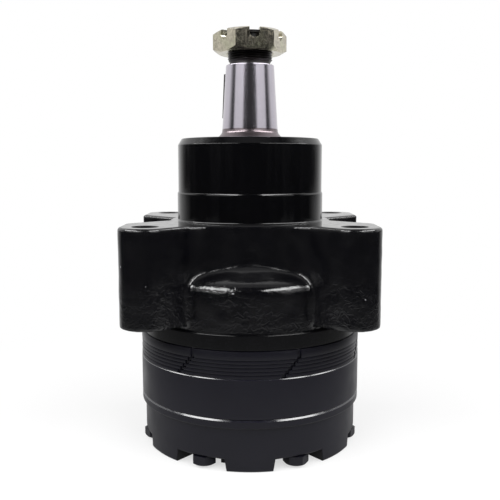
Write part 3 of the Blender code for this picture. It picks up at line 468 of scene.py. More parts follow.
def read_points(mesh, kind="co"):
    """A mesh's points, or the normals at them, as rows of three."""
    values = np.empty(len(mesh.vertices) * 3)
    mesh.vertices.foreach_get(kind, values)
    return values.reshape(-1, 3)


def write_points(mesh, points):
    """Put a mesh's points where these rows say."""
    mesh.vertices.foreach_set("co", points.ravel())
    mesh.update()


def relax(mesh, passes, freedom):
    """Draw each point towards its neighbours; freedom gives how far the points may go, 0 to 1."""
    points = read_points(mesh)
    ends = np.empty(len(mesh.edges) * 2, dtype=np.int32)
    mesh.edges.foreach_get("vertices", ends)
    ends = ends.reshape(-1, 2)
    start = np.concatenate([ends[:, 0], ends[:, 1]])
    other = np.concatenate([ends[:, 1], ends[:, 0]])
    count = len(points)
    neighbours = np.bincount(start, minlength=count)
    share = freedom(points)[:, None] * 0.5
    for _ in range(passes):
        middle = np.stack([np.bincount(start, points[other, axis], count) for axis in range(3)], axis=1)
        points += share * (middle / neighbours[:, None] - points)
    write_points(mesh, points)


def roughen(mesh, strength, scale, freedom):
    """Push the points along their normals by smooth noise, like a cast skin."""
    points = read_points(mesh)
    waves = np.array([noise.noise(spot) for spot in (points * scale).tolist()])
    push = (waves * strength * freedom(points))[:, None]
    write_points(mesh, points + read_points(mesh, "normal") * push)


def near(values, level, reach):
    """0 at a level, rising to 1 at a distance from it."""
    return np.clip(np.abs(values - level) / reach, 0.0, 1.0)


# ---------------------------------------------------------------- finishes


class Network:
    """A node tree that is put together node by node."""

    def __init__(self, tree):
        self.nodes = tree.nodes
        self.links = tree.links

    def put(self, socket, value):
        """Set a socket to a number or feed it from another node."""
        if isinstance(value, bpy.types.NodeSocket):
            self.links.new(value, socket)
        else:
            socket.default_value = value

    def graded(self, value, low, high, to_low=0.0, to_high=1.0, curve="SMOOTHSTEP"):
        """Map one range of a value to another, held at the ends."""
        node = self.nodes.new("ShaderNodeMapRange")
        node.interpolation_type = curve
        for socket, amount in zip(node.inputs, (value, low, high, to_low, to_high)):
            self.put(socket, amount)
        return node.outputs["Result"]

    def sums(self, operation, *values):
        """One step of arithmetic."""
        node = self.nodes.new("ShaderNodeMath")
        node.operation = operation
        for socket, value in zip(node.inputs, values):
            self.put(socket, value)
        return node.outputs[0]

    def between(self, share, first, second):
        """Mix two numbers."""
        node = self.nodes.new("ShaderNodeMix")
        for i, value in (("Factor", share), (2, first), (3, second)):
            self.put(node.inputs[i], value)
        return node.outputs[0]

    def along(self, vector, axis):
        """One coordinate of a vector."""
        node = self.nodes.new("ShaderNodeSeparateXYZ")
        self.links.new(vector, node.inputs[0])
        return node.outputs[axis]


class Finish(Network):
    """A Principled material in the piece's own coordinates."""

    def __init__(self, name, **sockets):
        self.material = bpy.data.materials.new(name)
        self.material.use_nodes = True
        super().__init__(self.material.node_tree)
        self.shader = self.nodes["Principled BSDF"]
        self.place = self.nodes.new("ShaderNodeTexCoord").outputs["Object"]
        for socket, value in sockets.items():
            self.shader.inputs[socket.replace("_", " ")].default_value = value

    def stretched(self, x, y, z):
        """The piece's coordinates, scaled along each axis."""
        node = self.nodes.new("ShaderNodeMapping")
        node.inputs["Scale"].default_value = (x, y, z)
        self.links.new(self.place, node.inputs["Vector"])
        return node.outputs["Vector"]

    def noise(self, scale, detail=2.0, distortion=0.0, vector=None):
        """Smooth noise, 0 to 1."""
        node = self.nodes.new("ShaderNodeTexNoise")
        node.inputs["Scale"].default_value = scale
        node.inputs["Detail"].default_value = detail
        node.inputs["Distortion"].default_value = distortion
        self.links.new(self.place if vector is None else vector, node.inputs["Vector"])
        return node.outputs["Fac"]

    def cells(self, scale):
        """Distance to the nearest of many scattered points."""
        node = self.nodes.new("ShaderNodeTexVoronoi")
        node.inputs["Scale"].default_value = scale
        self.links.new(self.place, node.inputs["Vector"])
        return node.outputs["Distance"]

    def blend(self, share, first, second):
        """Mix two colours."""
        node = self.nodes.new("ShaderNodeMix")
        node.data_type = "RGBA"
        self.put(node.inputs["Factor"], share)
        for socket, colour in zip((node.inputs[6], node.inputs[7]), (first, second)):
            self.put(socket, colour if isinstance(colour, bpy.types.NodeSocket) else (*colour, 1.0))
        return node.outputs[2]

    def height(self):
        """Height over the origin."""
        return self.along(self.place, "Z")

    def mottled(self, scale, detail, colour, darker, lighter):
        """A colour that wanders between two shades of itself."""
        return self.blend(self.noise(scale, detail), shade(colour, darker), shade(colour, lighter))

    def uneven(self, scale, detail, low, high):
        """A value that wanders between two levels."""
        return self.graded(self.noise(scale, detail), 0.3, 0.7, low, high)

    def bump(self, heights_and_depths):
        """Stack bumps, each a height from 0 to 1 and its depth in metres, and feed the shader's normal."""
        below = None
        for value, depth in heights_and_depths:
            node = self.nodes.new("ShaderNodeBump")
            node.inputs["Strength"].default_value = 1.0
            node.inputs["Distance"].default_value = depth
            self.links.new(value, node.inputs["Height"])
            if below is not None:
                self.links.new(below, node.inputs["Normal"])
            below = node.outputs["Normal"]
        self.links.new(below, self.shader.inputs["Normal"])

    def feed(self, **sockets):
        """Feed the shader's sockets."""
        for socket, value in sockets.items():
            self.put(self.shader.inputs[socket.replace("_", " ")], value)


def shade(colour, amount):
    """A colour made lighter or darker."""
    return tuple(min(1.0, part * amount) for part in colour)


def cast_paint(colour):
    """Gloss enamel over a wrinkled cast skin, with dust specks."""
    made = Finish("cast_black_enamel", IOR=1.7)
    low_down = made.graded(made.height(), 0.094, 0.110, 1.0, 0.22)
    patches = made.sums("MULTIPLY", made.graded(made.noise(38.0, 1.0), 0.40, 0.60, 0.30, 1.0), low_down)
    folds = made.noise(270.0, 1.5, 0.8, made.stretched(1.0, 1.0, 1.15))
    ridges = made.graded(made.sums("ABSOLUTE", made.sums("SUBTRACT", folds, 0.5)), 0.0, 0.13, 1.0, 0.0)
    wrinkled = made.sums("MULTIPLY", ridges, patches)
    peel = made.noise(950.0, 1.5)
    specks = made.graded(made.cells(115.0), 0.035, 0.06, 1.0, 0.0)
    sparse = made.graded(made.noise(45.0, 0.0), 0.60, 0.64)
    dust = made.sums("MULTIPLY", specks, sparse)
    made.feed(Base_Color=made.blend(dust, made.mottled(60.0, 3.0, colour, 0.6, 1.2), (0.30, 0.30, 0.31)),
              Roughness=made.uneven(130.0, 2.0, 0.12, 0.22))
    made.bump([(wrinkled, 0.000065), (peel, 0.000012), (made.noise(160.0, 2.0), 0.00004)])
    return made.material


def machined_paint(colour):
    """Gloss enamel over a turned or milled face."""
    made = Finish("machined_black_enamel", IOR=1.52)
    streaks = made.noise(30.0, 2.0, 0.0, made.stretched(9.0, 9.0, 0.6))
    lines = made.noise(40.0, 2.0, 0.0, made.stretched(1.0, 1.0, 60.0))
    made.feed(Base_Color=made.blend(streaks, shade(colour, 0.35), shade(colour, 0.65)),
              Roughness=made.graded(streaks, 0.3, 0.7, 0.09, 0.17))
    made.bump([(lines, 0.0000012), (made.noise(520.0, 1.0), 0.000006)])
    return made.material


def satin_coat(name, colour):
    """Satin black over turned steel, with fine turning lines and slight rubbing."""
    made = Finish(name, IOR=1.45)
    made.shader.inputs["Specular IOR Level"].default_value = 0.36
    lines = made.noise(60.0, 3.0, 0.0, made.stretched(0.7, 0.7, 55.0))
    made.feed(Base_Color=made.mottled(26.0, 3.0, colour, 0.82, 1.2),
              Roughness=made.uneven(90.0, 3.0, 0.30, 0.40))
    made.bump([(lines, 0.000010), (made.noise(2600.0, 1.0), 0.000008)])
    return made.material


def grained(name, colour, shades, mottle, roughness, grain, **sockets):
    """A finish with a mottled colour, an uneven roughness and a fine grain.

    The mottle is a scale and a detail, the roughness has two levels after those, and the grain has a depth.
    """
    made = Finish(name, **sockets)
    made.feed(Base_Color=made.mottled(*mottle, colour, *shades), Roughness=made.uneven(*roughness))
    scale, detail, depth = grain
    made.bump([(made.noise(scale, detail), depth)])
    return made.material


def rubbed_coat_painted_highlight(colour):
    """Satin black rubbed to a gloss along an edge, with its colour up to twice as light as a painted
    highlight.
    """
    return grained("rubbed_black_edge_painted_highlight", colour, (1.0, 2.0), (120.0, 3.0), (200.0, 2.0, 0.10, 0.18),
                   (900.0, 1.0, 0.000002), IOR=1.85)


def ground_steel(colour, brown_low, brown_high):
    """Ground shaft steel, with grinding lines round it and a heat tint over the flare."""
    made = Finish("ground_shaft_steel", Metallic=1.0)
    lines = made.noise(80.0, 4.0, 0.0, made.stretched(0.5, 0.5, 70.0))
    plain = made.mottled(55.0, 3.0, colour, 0.90, 1.06)
    climb = made.graded(made.height(), brown_low, brown_low + 0.0012)
    fall = made.graded(made.height(), brown_high, brown_high + 0.0006, 1.0, 0.0)
    band = made.sums("MULTIPLY", made.sums("MULTIPLY", climb, fall), 0.9)
    dull = made.graded(made.height(), brown_high - 0.0002, brown_high + 0.0002, 0.10, 0.0)
    ground = made.graded(lines, 0.3, 0.7, 0.16, 0.20)
    made.feed(Base_Color=made.blend(band, plain, (0.15, 0.12, 0.125)),
              Roughness=made.sums("ADD", ground, dull))
    made.bump([(lines, 0.0000006), (made.noise(1800.0, 1.0), 0.0000008)])
    return made.material


def oiled_steel(name, colour, roughness):
    """Dark oiled steel with a soft mottle."""
    return grained(name, colour, (0.7, 1.25), (180.0, 4.0), (320.0, 3.0, roughness - 0.08, roughness + 0.1),
                   (1400.0, 2.0, 0.000008), Metallic=1.0)


def zinc_plate(colour):
    """Yellow zinc over rolled hexagon steel: cloudy, slightly iridescent and finely pitted."""
    made = Finish("yellow_zinc_plating", Metallic=1.0)
    cloud = made.graded(made.noise(420.0, 4.0, 0.6), 0.35, 0.65)
    warm = made.blend(cloud, shade(colour, 0.78), shade(colour, 1.08))
    bloom = made.graded(made.noise(110.0, 2.0), 0.48, 0.66, 0.0, 0.6)
    film = made.blend(bloom, warm, (0.46, 0.46, 0.33))
    pits = made.graded(made.noise(1300.0, 3.0), 0.56, 0.70)
    made.feed(Base_Color=made.blend(made.sums("MULTIPLY", pits, 0.7), film, (0.20, 0.18, 0.12)),
              Roughness=made.uneven(640.0, 4.0, 0.15, 0.25))
    made.bump([(made.noise(1500.0, 3.0), 0.000005), (made.noise(330.0, 2.0), 0.000002)])
    return made.material


def polished_steel(colour):
    """Hardened bearing steel."""
    made = Finish("bearing_steel", Metallic=1.0)
    made.feed(Base_Color=made.mottled(90.0, 3.0, colour, 0.9, 1.08),
              Roughness=made.uneven(500.0, 2.0, 0.12, 0.22))
    made.bump([(made.noise(900.0, 2.0, 0.0, made.stretched(1.0, 1.0, 6.0)), 0.000003)])
    return made.material


def moulded_rubber(colour):
    """Matt seal rubber."""
    return grained("seal_rubber", colour, (0.8, 1.3), (220.0, 3.0), (400.0, 2.0, 0.55, 0.72),
                   (1600.0, 2.0, 0.000015))


def sintered_bronze(colour):
    """Fine-grained bearing bronze."""
    return grained("bronze", colour, (0.75, 1.1), (700.0, 4.0), (900.0, 2.0, 0.32, 0.5),
                   (2400.0, 2.0, 0.000010), Metallic=1.0)


def finish_of(name):
    """The material with this name, made the first time it is asked for."""
    found = bpy.data.materials.get(name)
    if found is not None:
        return found
    colours = bpy.context.scene.motor_colours
    shaft = bpy.context.scene.motor_shaft
    makers = {
        "cast_black_enamel": lambda: cast_paint(colours.black_paint),
        "machined_black_enamel": lambda: machined_paint(colours.black_paint),
        "satin_black_coat": lambda: satin_coat("satin_black_coat", colours.satin_black),
        # Chamfer coat: glossier from rubbing, and lighter in colour as a painted highlight.
        "rubbed_black_edge_painted_highlight": lambda: rubbed_coat_painted_highlight(colours.satin_black),
        # Satin coat at a quarter of its colour: painted shade for the recessed bolt pockets.
        "pocket_painted_shade": lambda: satin_coat("pocket_painted_shade", shade(colours.satin_black, 0.25)),
        "satin_black_plates": lambda: satin_coat("satin_black_plates", shade(colours.satin_black, 0.85)),
        "ground_shaft_steel": lambda: ground_steel(colours.ground_steel, shaft.flare_bottom,
                                                   shaft.taper_bottom),
        "black_thread": lambda: oiled_steel("black_thread", shade(colours.dark_steel, 0.30), 0.42),
        "oiled_dark_steel": lambda: oiled_steel("oiled_dark_steel", colours.dark_steel, 0.32),
        "yellow_zinc_plating": lambda: zinc_plate(colours.yellow_zinc),
        "bearing_steel": lambda: polished_steel(colours.bearing_steel),
        "seal_rubber": lambda: moulded_rubber(colours.seal_rubber),
        "bronze": lambda: sintered_bronze(colours.bronze),
    }
    return makers[name]()


# ---------------------------------------------------------------- housing


def cast_body(sizes):
    """Round body, shoulder and neck of the casting, without its bore."""
    corners = [(0.0, FLANGE_TOP, 0), (sizes.neck_radius, FLANGE_TOP, 0),
               (sizes.neck_radius, sizes.shoulder_top, sizes.hood_ease),
               (sizes.body_radius, sizes.body_top, sizes.shoulder_ease),
               (sizes.body_radius, HOUSING_BOTTOM + RIM_BITE, 0), (0.0, HOUSING_BOTTOM + RIM_BITE, 0)]
    return turned("cast_body", 192, eased(corners, steps=10))


def rim(sizes):
    """The turned rim under the casting, which meets the plates."""
    top = HOUSING_BOTTOM + sizes.rim_height
    corners = [(0.0, top, 0), (sizes.rim_radius, top, 0.0005), (sizes.rim_radius, HOUSING_BOTTOM, 0.0003),
               (0.0, HOUSING_BOTTOM, 0)]
    return turned("turned_rim", 192, eased(corners, steps=4))


def ear_outline(sizes):
    """Outline of the four ears and the webs between them."""
    centre = sizes.ear_spacing / 2
    reach = sizes.ear_radius
    half = web_arc(reach, sizes)
    half += arc((centre, -centre), reach, math.radians(225), math.radians(360), 20)
    half.append(Vector((centre + reach, -sizes.side_corner)))
    half.append(Vector((sizes.side_neck, -sizes.side_corner + centre + reach - sizes.side_neck)))
    half += [Vector((spot.x, -spot.y)) for spot in reversed(half)]
    return half + [Vector((-spot.x, spot.y)) for spot in reversed(half)]


def web_arc(reach, sizes):
    """Hollow stretch of the front web, from its middle, tangent to the neck and to the ear's slanted side."""
    level = -sizes.neck_radius - 0.0004
    meet = Vector((-reach * math.sqrt(2) - level, level))
    half_turn = math.radians(45.0) / 2
    away = sizes.web_ease * math.tan(half_turn)
    start = meet - Vector((away, 0.0))
    centre = start + Vector((0.0, -sizes.web_ease))
    steps = 10
    return [centre + Matrix.Rotation(-math.radians(45.0) * k / steps, 2) @ (start - centre)
            for k in range(steps + 1)]


def casting(sizes):
    """The cast skin: body, ears and port pad grown together with eased edges."""
    skin = cast_body(sizes)
    ears = plate("cast_ears", [ear_outline(sizes)], sizes.flange_bottom, FLANGE_TOP)
    pad = block("cast_pad", (-sizes.pad_half_width, sizes.side_corner, sizes.pad_bottom),
                (sizes.pad_half_width, PORT_PAD_FACE, sizes.pad_top))
    combine(skin, "UNION", [ears, pad])
    grown = skin.modifiers.new("Skin", "REMESH")
    grown.mode = "VOXEL"
    grown.voxel_size = sizes.grain
    freeze(skin)
    mesh = skin.data

    def eased_share(points):
        top = 0.15 + 0.85 * near(points[:, 2], FLANGE_TOP, 0.004)
        beside = np.hypot(points[:, 0], points[:, 1]) > sizes.body_radius + 0.0004
        under = np.where(beside, 0.03 + 0.97 * near(points[:, 2], sizes.flange_bottom, 0.0025), 1.0)
        return top * under

    def rough_share(points):
        faces = near(points[:, 2], FLANGE_TOP, 0.004) * near(points[:, 2], sizes.flange_bottom, 0.003)
        return faces * near(points[:, 1], PORT_PAD_FACE, 0.002)

    ripple_height, ripple_scale = 0.00016, 130.0
    nearly_flush = 0.00012
    relax(mesh, sizes.easing, eased_share)
    roughen(mesh, ripple_height, ripple_scale, rough_share)
    for vertex in mesh.vertices:
        if abs(vertex.co.z - FLANGE_TOP) < nearly_flush:
            vertex.co.z = FLANGE_TOP
        vertex.co.x = min(EAR_REACH, max(-EAR_REACH, vertex.co.x))
    mesh.update()
    return skin


def pilot(sizes):
    """The turned pilot with its step, chamfer and fillet at the foot."""
    foot = FLANGE_TOP
    base = sizes.pilot_lower + 0.0014
    sunk = 0.004
    top_radius = sizes.pilot_radius - sizes.chamfer_in
    corners = [(0.0, PILOT_TOP, 0), (top_radius, PILOT_TOP, 0.0003),
               (sizes.pilot_radius, PILOT_TOP - sizes.chamfer_rise, 0.0004),
               (sizes.pilot_radius, sizes.pilot_step, 0.0001),
               (sizes.pilot_lower - sizes.step_chamfer * STEP_LEAN, sizes.pilot_step, 0),
               (sizes.pilot_lower, sizes.pilot_step - sizes.step_chamfer, 0),
               (sizes.pilot_lower, foot, 0.0009), (base, foot, 0), (base, foot - sunk, 0),
               (0.0, foot - sunk, 0)]
    return turned("turned_pilot", 192, eased(corners))


def housing_bore(sizes):
    """Inside of the housing as a solid to cut with."""
    lead = 0.0017
    web_bore, web_top, web_bottom = 0.0245, 0.115, 0.1109
    seat, seat_bottom = 0.030, 0.0973
    cavity = 0.033
    corners = [(0.0, PILOT_TOP + CUT_SPARE), (sizes.front_bore + lead, PILOT_TOP + CUT_SPARE),
               (sizes.front_bore, PILOT_TOP - 0.0007), (sizes.front_bore, web_top), (web_bore, web_top),
               (web_bore, web_bottom), (seat, web_bottom), (seat, seat_bottom), (cavity, seat_bottom),
               (cavity, HOUSING_BOTTOM - CUT_SPARE), (0.0, HOUSING_BOTTOM - CUT_SPARE)]
    return turned("housing_bore", 128, corners)


def mounting_holes(sizes):
    """Ear holes with a small countersink at both ends."""
    centre = sizes.ear_spacing / 2
    lead = 0.0005
    tools = []
    for side in (-1, 1):
        for end in (-1, 1):
            place = Matrix.Translation((side * centre, end * centre, 0))
            wide = sizes.ear_hole + 2 * lead
            corners = [(0, FLANGE_TOP + lead), (wide, FLANGE_TOP + lead), (sizes.ear_hole, FLANGE_TOP - lead),
                       (sizes.ear_hole, sizes.flange_bottom + lead), (wide, sizes.flange_bottom - lead),
                       (0, sizes.flange_bottom - lead)]
            tool = turned("ear_hole", 48, corners)
            tool.data.transform(place)
            tools.append(tool)
    return tools


def clamp_spots(cover):
    """Places of the clamping bolts on their circle."""
    return [front(CLAMP_PITCH * (i + 0.5), cover.bolt_circle) for i in range(CLAMP_BOLTS)]


def clamp_cutters(cover, bottom, top, facets=24):
    """Solids that cut the clearance holes of the clamping bolts."""
    radius = cover.bolt_radius + CLEARANCE
    return [rod("clamp_hole", radius, (spot.x, spot.y, bottom), (spot.x, spot.y, top), facets)
            for spot in clamp_spots(cover)]


def seal_groove(top):
    """Ring that cuts a body seal's groove into an upper face."""
    section = [(SEAL_OUTER, top + CUT_SPARE), (SEAL_OUTER, top - SEAL_DEPTH), (SEAL_INNER, top - SEAL_DEPTH),
               (SEAL_INNER, top + CUT_SPARE)]
    return turned("seal_groove", 128, section, ring=True)


def port_profile(sizes, pitch=0.0018, depth=0.0009):
    """Section of a threaded port, from its floor to its mouth, as (radius, distance from the face)."""
    points = [(0.0, -sizes.port_depth), (sizes.port_radius, -sizes.port_depth)]
    start = -sizes.port_depth + 0.002
    turns = int((sizes.port_depth - 0.005) / pitch)
    for i in range(turns):
        low = start + i * pitch
        crest = sizes.port_radius + depth
        points += [(sizes.port_radius, low), (sizes.port_radius, low + pitch * 0.15),
                   (crest, low + pitch * 0.55), (crest, low + pitch * 0.65)]
    mouth = sizes.port_radius + depth + 0.0008
    return points + [(mouth, -0.0014), (mouth + 0.0012, 0.0), (mouth + 0.0012, 0.001), (0.0, 0.001)]


def port_tools(sizes):
    """Threaded ports, their spot faces and the passages behind them."""
    tools = []
    passage = 0.044
    points = port_profile(sizes)
    for side in (-1, 1):
        place = Vector((side * sizes.port_offset, PORT_PAD_FACE, PORT_CENTRE_HEIGHT))
        tool = turned("port", 64, points)
        tool.data.transform(Matrix.Translation(place) @ Matrix.Rotation(-math.pi / 2, 4, "X"))
        tools.append(tool)
        floor = place - Vector((0, sizes.port_depth - 0.001, 0))
        tools.append(rod("passage", 0.0035, (floor.x, passage - 0.002, floor.z), floor, 24))
        tools.append(rod("passage_down", 0.003, (floor.x, passage, HOUSING_BOTTOM - CUT_SPARE),
                         (floor.x, passage, floor.z), 24))
    return tools


def paint_machined_faces(mesh, sizes):
    """Give the turned and milled faces the smoother enamel."""
    edge = sizes.front_bore + 0.006
    for face in mesh.polygons:
        middle = face.center
        on_top = middle.z > FLANGE_TOP - 0.00005
        in_bore = middle.xy.length < edge
        on_pad = middle.y > PORT_PAD_FACE - 0.0002
        on_rim = middle.z < HOUSING_BOTTOM + sizes.rim_height + 0.0001
        face.material_index = 1 if on_top or in_bore or on_pad or on_rim else 0


class MOTOR_OT_housing(bpy.types.Operator):
    """Build the cast housing with its ears, pilot, ports and bores"""
    bl_idname = "motor.housing"
    bl_label = "Housing"

    def execute(self, context):
        sizes = context.scene.motor_housing
        housing = casting(sizes)
        combine(housing, "UNION", [pilot(sizes), rim(sizes)])
        combine(housing, "DIFFERENCE", [housing_bore(sizes)] + mounting_holes(sizes)
                + clamp_cutters(context.scene.motor_cover, HOUSING_BOTTOM - CUT_SPARE, BOLT_TOP + BOLT_SPARE))
        combine(housing, "DIFFERENCE", port_tools(sizes))
        housing.name = "housing_casting"
        housing.data.name = "housing_casting"
        hand_in(housing, "root", "black_paint", finish_of("cast_black_enamel"), "housing")
        housing.data.materials.append(finish_of("machined_black_enamel"))
        paint_machined_faces(housing.data, sizes)
        return {"FINISHED"}


# ---------------------------------------------------------------- end cover and bolts


def give_chamfer_rubbed_coat_painted_highlight(mesh, top, height):
    """Give the steep chamfer at the top of a turned piece a coat that handling has rubbed to a gloss, with a
    lighter colour that is a painted highlight.
    """
    mesh.materials.append(finish_of("rubbed_black_edge_painted_highlight"))
    for face in mesh.polygons:
        on_chamfer = top - height < face.center.z < top and face.center.xy.length > PLATE_RADIUS - 0.001
        if on_chamfer and 0.2 < face.normal.z < 0.8:
            face.material_index = len(mesh.materials) - 1


def pocket_share(angle, sizes):
    """Signed distance along the bolt circle from an angle to the nearest lug's side, positive in a pocket."""
    from_lug = abs((angle + CLAMP_PITCH / 2) % CLAMP_PITCH - CLAMP_PITCH / 2)
    return (from_lug - sizes.lug_half_angle) * sizes.bolt_circle


def eased_step(distance, reach):
    """0 before a step, 1 past it, with rounded ends."""
    share = min(1.0, max(0.0, distance / reach + 0.5))
    return share * share * (3 - 2 * share)


def cover_profile(angle, sizes):
    """Section of the end cover at an angle: lip, side and the face with its pockets."""
    depth = sizes.pocket_depth
    into = pocket_share(angle, sizes)
    ease = sizes.lug_ease
    side = eased_step(into, ease)
    floor_at_rim = depth * side
    lip_bottom = COVER_TOP - sizes.lip_height
    corners = [(0.0, COVER_TOP, 0), (COVER_LIP_RADIUS - sizes.lip_chamfer * EDGE_LEAN, COVER_TOP, 0),
               (COVER_LIP_RADIUS, COVER_TOP - sizes.lip_chamfer, 0), (COVER_LIP_RADIUS, lip_bottom, 0.0006),
               (sizes.radius, lip_bottom - 0.0006, 0.0008)]
    foot = sizes.foot_ease
    points = eased(corners + [(sizes.radius, floor_at_rim + foot, 0)])
    for k in range(1, 6):
        swing = math.pi / 2 * k / 5
        points.append(Vector((sizes.radius - foot * (1 - math.cos(swing)),
                              floor_at_rim + foot * (1 - math.sin(swing)))))
    steps = 34
    start = sizes.radius - foot
    for k in range(1, steps + 1):
        radius = start + (sizes.pocket_inner - 0.003 - start) * k / steps
        inward = eased_step(radius - sizes.pocket_inner, ease)
        points.append(Vector((radius, floor_at_rim * inward)))
    points.append(Vector((0.010, 0.0)))
    points.append(Vector((0.0, 0.0)))
    return points


def gate_stub(sizes):
    """Short cast stub at the inner end of the pocket beside the front lug."""
    half = math.radians(2.6)
    angle = -sizes.lug_half_angle - half
    low = sizes.pocket_inner - 0.002
    high = sizes.pocket_inner + 0.0055
    outline = [front(angle - half, low), front(angle - half, high), front(angle + half, high),
               front(angle + half * 1.4, low)]
    corners = [(spot.x, spot.y, 0.0008) for spot in outline]
    return plate("gate_stub", [eased(corners, closed=True)], 0.0009, sizes.pocket_depth + 0.002)


class MOTOR_OT_end_cover(bpy.types.Operator):
    """Build the end cover with its lugs and bolt pockets"""
    bl_idname = "motor.end_cover"
    bl_label = "End cover"

    def execute(self, context):
        sizes = context.scene.motor_cover
        cover = lathe("end_cover_casting", 720, lambda angle: cover_profile(angle, sizes))
        combine(cover, "UNION", [gate_stub(sizes)])
        below_pockets = 0.001
        tools = clamp_cutters(sizes, below_pockets, COVER_TOP + CUT_SPARE, 32)
        combine(cover, "DIFFERENCE", tools + [seal_groove(COVER_TOP)])
        hand_in(cover, "root", "satin_black", finish_of("satin_black_coat"), "end_cover")
        # Faces inside the bolt pockets get the darker coat, which is painted shade in these recesses.
        cover.data.materials.append(finish_of("pocket_painted_shade"))
        for face in cover.data.polygons:
            inside = face.center.xy.length < sizes.radius - sizes.foot_ease / 2
            if inside and 0.0002 < face.center.z < sizes.pocket_depth + 0.0005:
                face.material_index = 1
        give_chamfer_rubbed_coat_painted_highlight(cover.data, COVER_TOP, sizes.lip_chamfer)
        return {"FINISHED"}


class MOTOR_OT_cover_bolts(bpy.types.Operator):
    """Build the seven hexagon-head bolts"""
    bl_idname = "motor.cover_bolts"
    bl_label = "Cover bolts"

    def execute(self, context):
        sizes = context.scene.motor_cover
        corner = sizes.head_flats / math.sqrt(3)
        seat = BOLT_BOTTOM + sizes.head_height
        for i, spot in enumerate(clamp_spots(sizes)):
            node = f"cover_bolt_{i + 1}"
            head = rod(f"bolt_{i + 1}", corner, (0, 0, BOLT_BOTTOM), (0, 0, seat), 6)
            head.data.transform(Matrix.Rotation(head_turn(node, spot), 4, "Z"))
            wide = corner * 1.02
            face = sizes.head_flats / 2 * 0.95
            drop = (wide - face) * math.tan(math.radians(30))
            cone = [(0, seat + CUT_SPARE), (wide, seat + CUT_SPARE), (wide, BOLT_BOTTOM + drop),
                    (face, BOLT_BOTTOM), (0, BOLT_BOTTOM)]
            combine(head, "INTERSECT", [turned("head_cone", 96, cone)])
            tip = 0.0008
            radius = sizes.bolt_radius
            shank = [(0, BOLT_TOP), (radius - tip, BOLT_TOP), (radius, BOLT_TOP - tip),
                     (radius, seat - CUT_SPARE), (0, seat - CUT_SPARE)]
            combine(head, "UNION", [turned("shank", 40, shank)])
            head.data.transform(Matrix.Translation(spot))
            bevel(head, 0.00018, 25.0)
            freeze(head)
            hand_in(head, "root", "black_paint", finish_of("satin_black_coat"), node)
            flatten(head)
        return {"FINISHED"}


def head_turn(node, spot):
    """Turn of a bolt's CAD head: the angle of one of its corners, counted from +Y."""
    reach = max(((vertex.co - spot).xy for vertex in frame["nodes"][node].data.vertices),
                key=lambda step: step.length)
    return math.atan2(reach.y, reach.x) - math.pi / 2


# ---------------------------------------------------------------- ring and plates


def ring_bore(angle):
    """Inner radius of the rotor ring: a round land with a pocket for each roller."""
    off = abs((angle + CLAMP_PITCH / 2) % CLAMP_PITCH - CLAMP_PITCH / 2)
    reach = 0.039
    pocket = 0.0079
    land = 0.0383
    inside = pocket ** 2 - (reach * math.sin(off)) ** 2
    if inside <= 0 or reach * math.cos(off) + math.sqrt(inside) < land:
        return land
    return reach * math.cos(off) + math.sqrt(inside)


def clamp_hole_outlines(cover):
    """Outlines of the clearance holes for the clamping bolts."""
    return [circle(spot.xy, cover.bolt_radius + CLEARANCE, 24) for spot in clamp_spots(cover)]


class MOTOR_OT_rotor_ring(bpy.types.Operator):
    """Build the rotor ring"""
    bl_idname = "motor.rotor_ring"
    bl_label = "Rotor ring"

    def execute(self, context):
        sizes = context.scene.motor_stack
        cover = context.scene.motor_cover
        ease = sizes.edge_ease
        chamfer = sizes.ring_chamfer

        def section(angle):
            bore = ring_bore(angle)
            return eased([(RING_RADIUS - chamfer * EDGE_LEAN, RING_TOP, 0),
                          (RING_RADIUS, RING_TOP - chamfer, 0), (RING_RADIUS, RING_BOTTOM, ease),
                          (bore, RING_BOTTOM, 0), (bore, RING_TOP, 0)], closed=True, steps=3)

        ring = lathe("rotor_ring_body", 504, section, ring=True)
        tools = clamp_cutters(cover, RING_BOTTOM - CUT_SPARE, RING_TOP + CUT_SPARE)
        combine(ring, "DIFFERENCE", tools + [seal_groove(RING_TOP)])
        hand_in(ring, "root", "satin_black", finish_of("satin_black_coat"), "rotor_ring")
        give_chamfer_rubbed_coat_painted_highlight(ring.data, RING_TOP, chamfer)
        return {"FINISHED"}


def plate_outline(sizes, level, radius):
    """Round edge of a plate with its notches."""
    first = sizes.notch_first - sizes.notch_step * level
    half = sizes.notch_width / 2 / radius
    steps = 40
    points = []
    for i in range(CLAMP_BOLTS):
        centre = first + CLAMP_PITCH * i
        points += [front(centre - half, radius), front(centre - half * 0.9, radius - sizes.notch_depth),
                   front(centre + half * 0.9, radius - sizes.notch_depth)]
        points += [front(centre + half + (CLAMP_PITCH - 2 * half) * k / steps, radius) for k in range(steps)]
    return points


PLATE_TRIMS = (0.0, 0.00012, 0.00004, 0.00015, 0.00006, 0.0)    # how much smaller each plate's radius is


class MOTOR_OT_manifold_plates(bpy.types.Operator):
    """Build the five thin plates and the thick plate"""
    bl_idname = "motor.manifold_plates"
    bl_label = "Manifold plates"

    def execute(self, context):
        sizes = context.scene.motor_stack
        holes = clamp_hole_outlines(context.scene.motor_cover)
        window_circle = 0.0335
        window_radius = 0.0026
        window_step = math.radians(4.0)
        for i, node in enumerate(PLATE_NODES):
            bottom, top = heights(node)
            radius = PLATE_RADIUS - PLATE_TRIMS[i]
            level = len(PLATE_NODES) - 1 - i
            outlines = [plate_outline(sizes, level, radius), circle((0, 0), sizes.bore, 64)]
            windows = [front(CLAMP_PITCH * (k + 0.5) - window_step * i, window_circle)
                       for k in range(CLAMP_BOLTS)]
            outlines += holes + [circle(spot.xy, window_radius, 20) for spot in windows]
            made = plate(node + "_disc", outlines, bottom, top)
            bevel(made, sizes.plate_ease, 50.0)
            freeze(made)
            hand_in(made, "root", "satin_black", finish_of("satin_black_plates"), node)
        return {"FINISHED"}


# ---------------------------------------------------------------- shaft, key and nut


def taper_radius(sizes, height):
    """Radius of the shaft's taper at a height."""
    return sizes.taper - (height - sizes.taper_bottom) * sizes.taper_slope


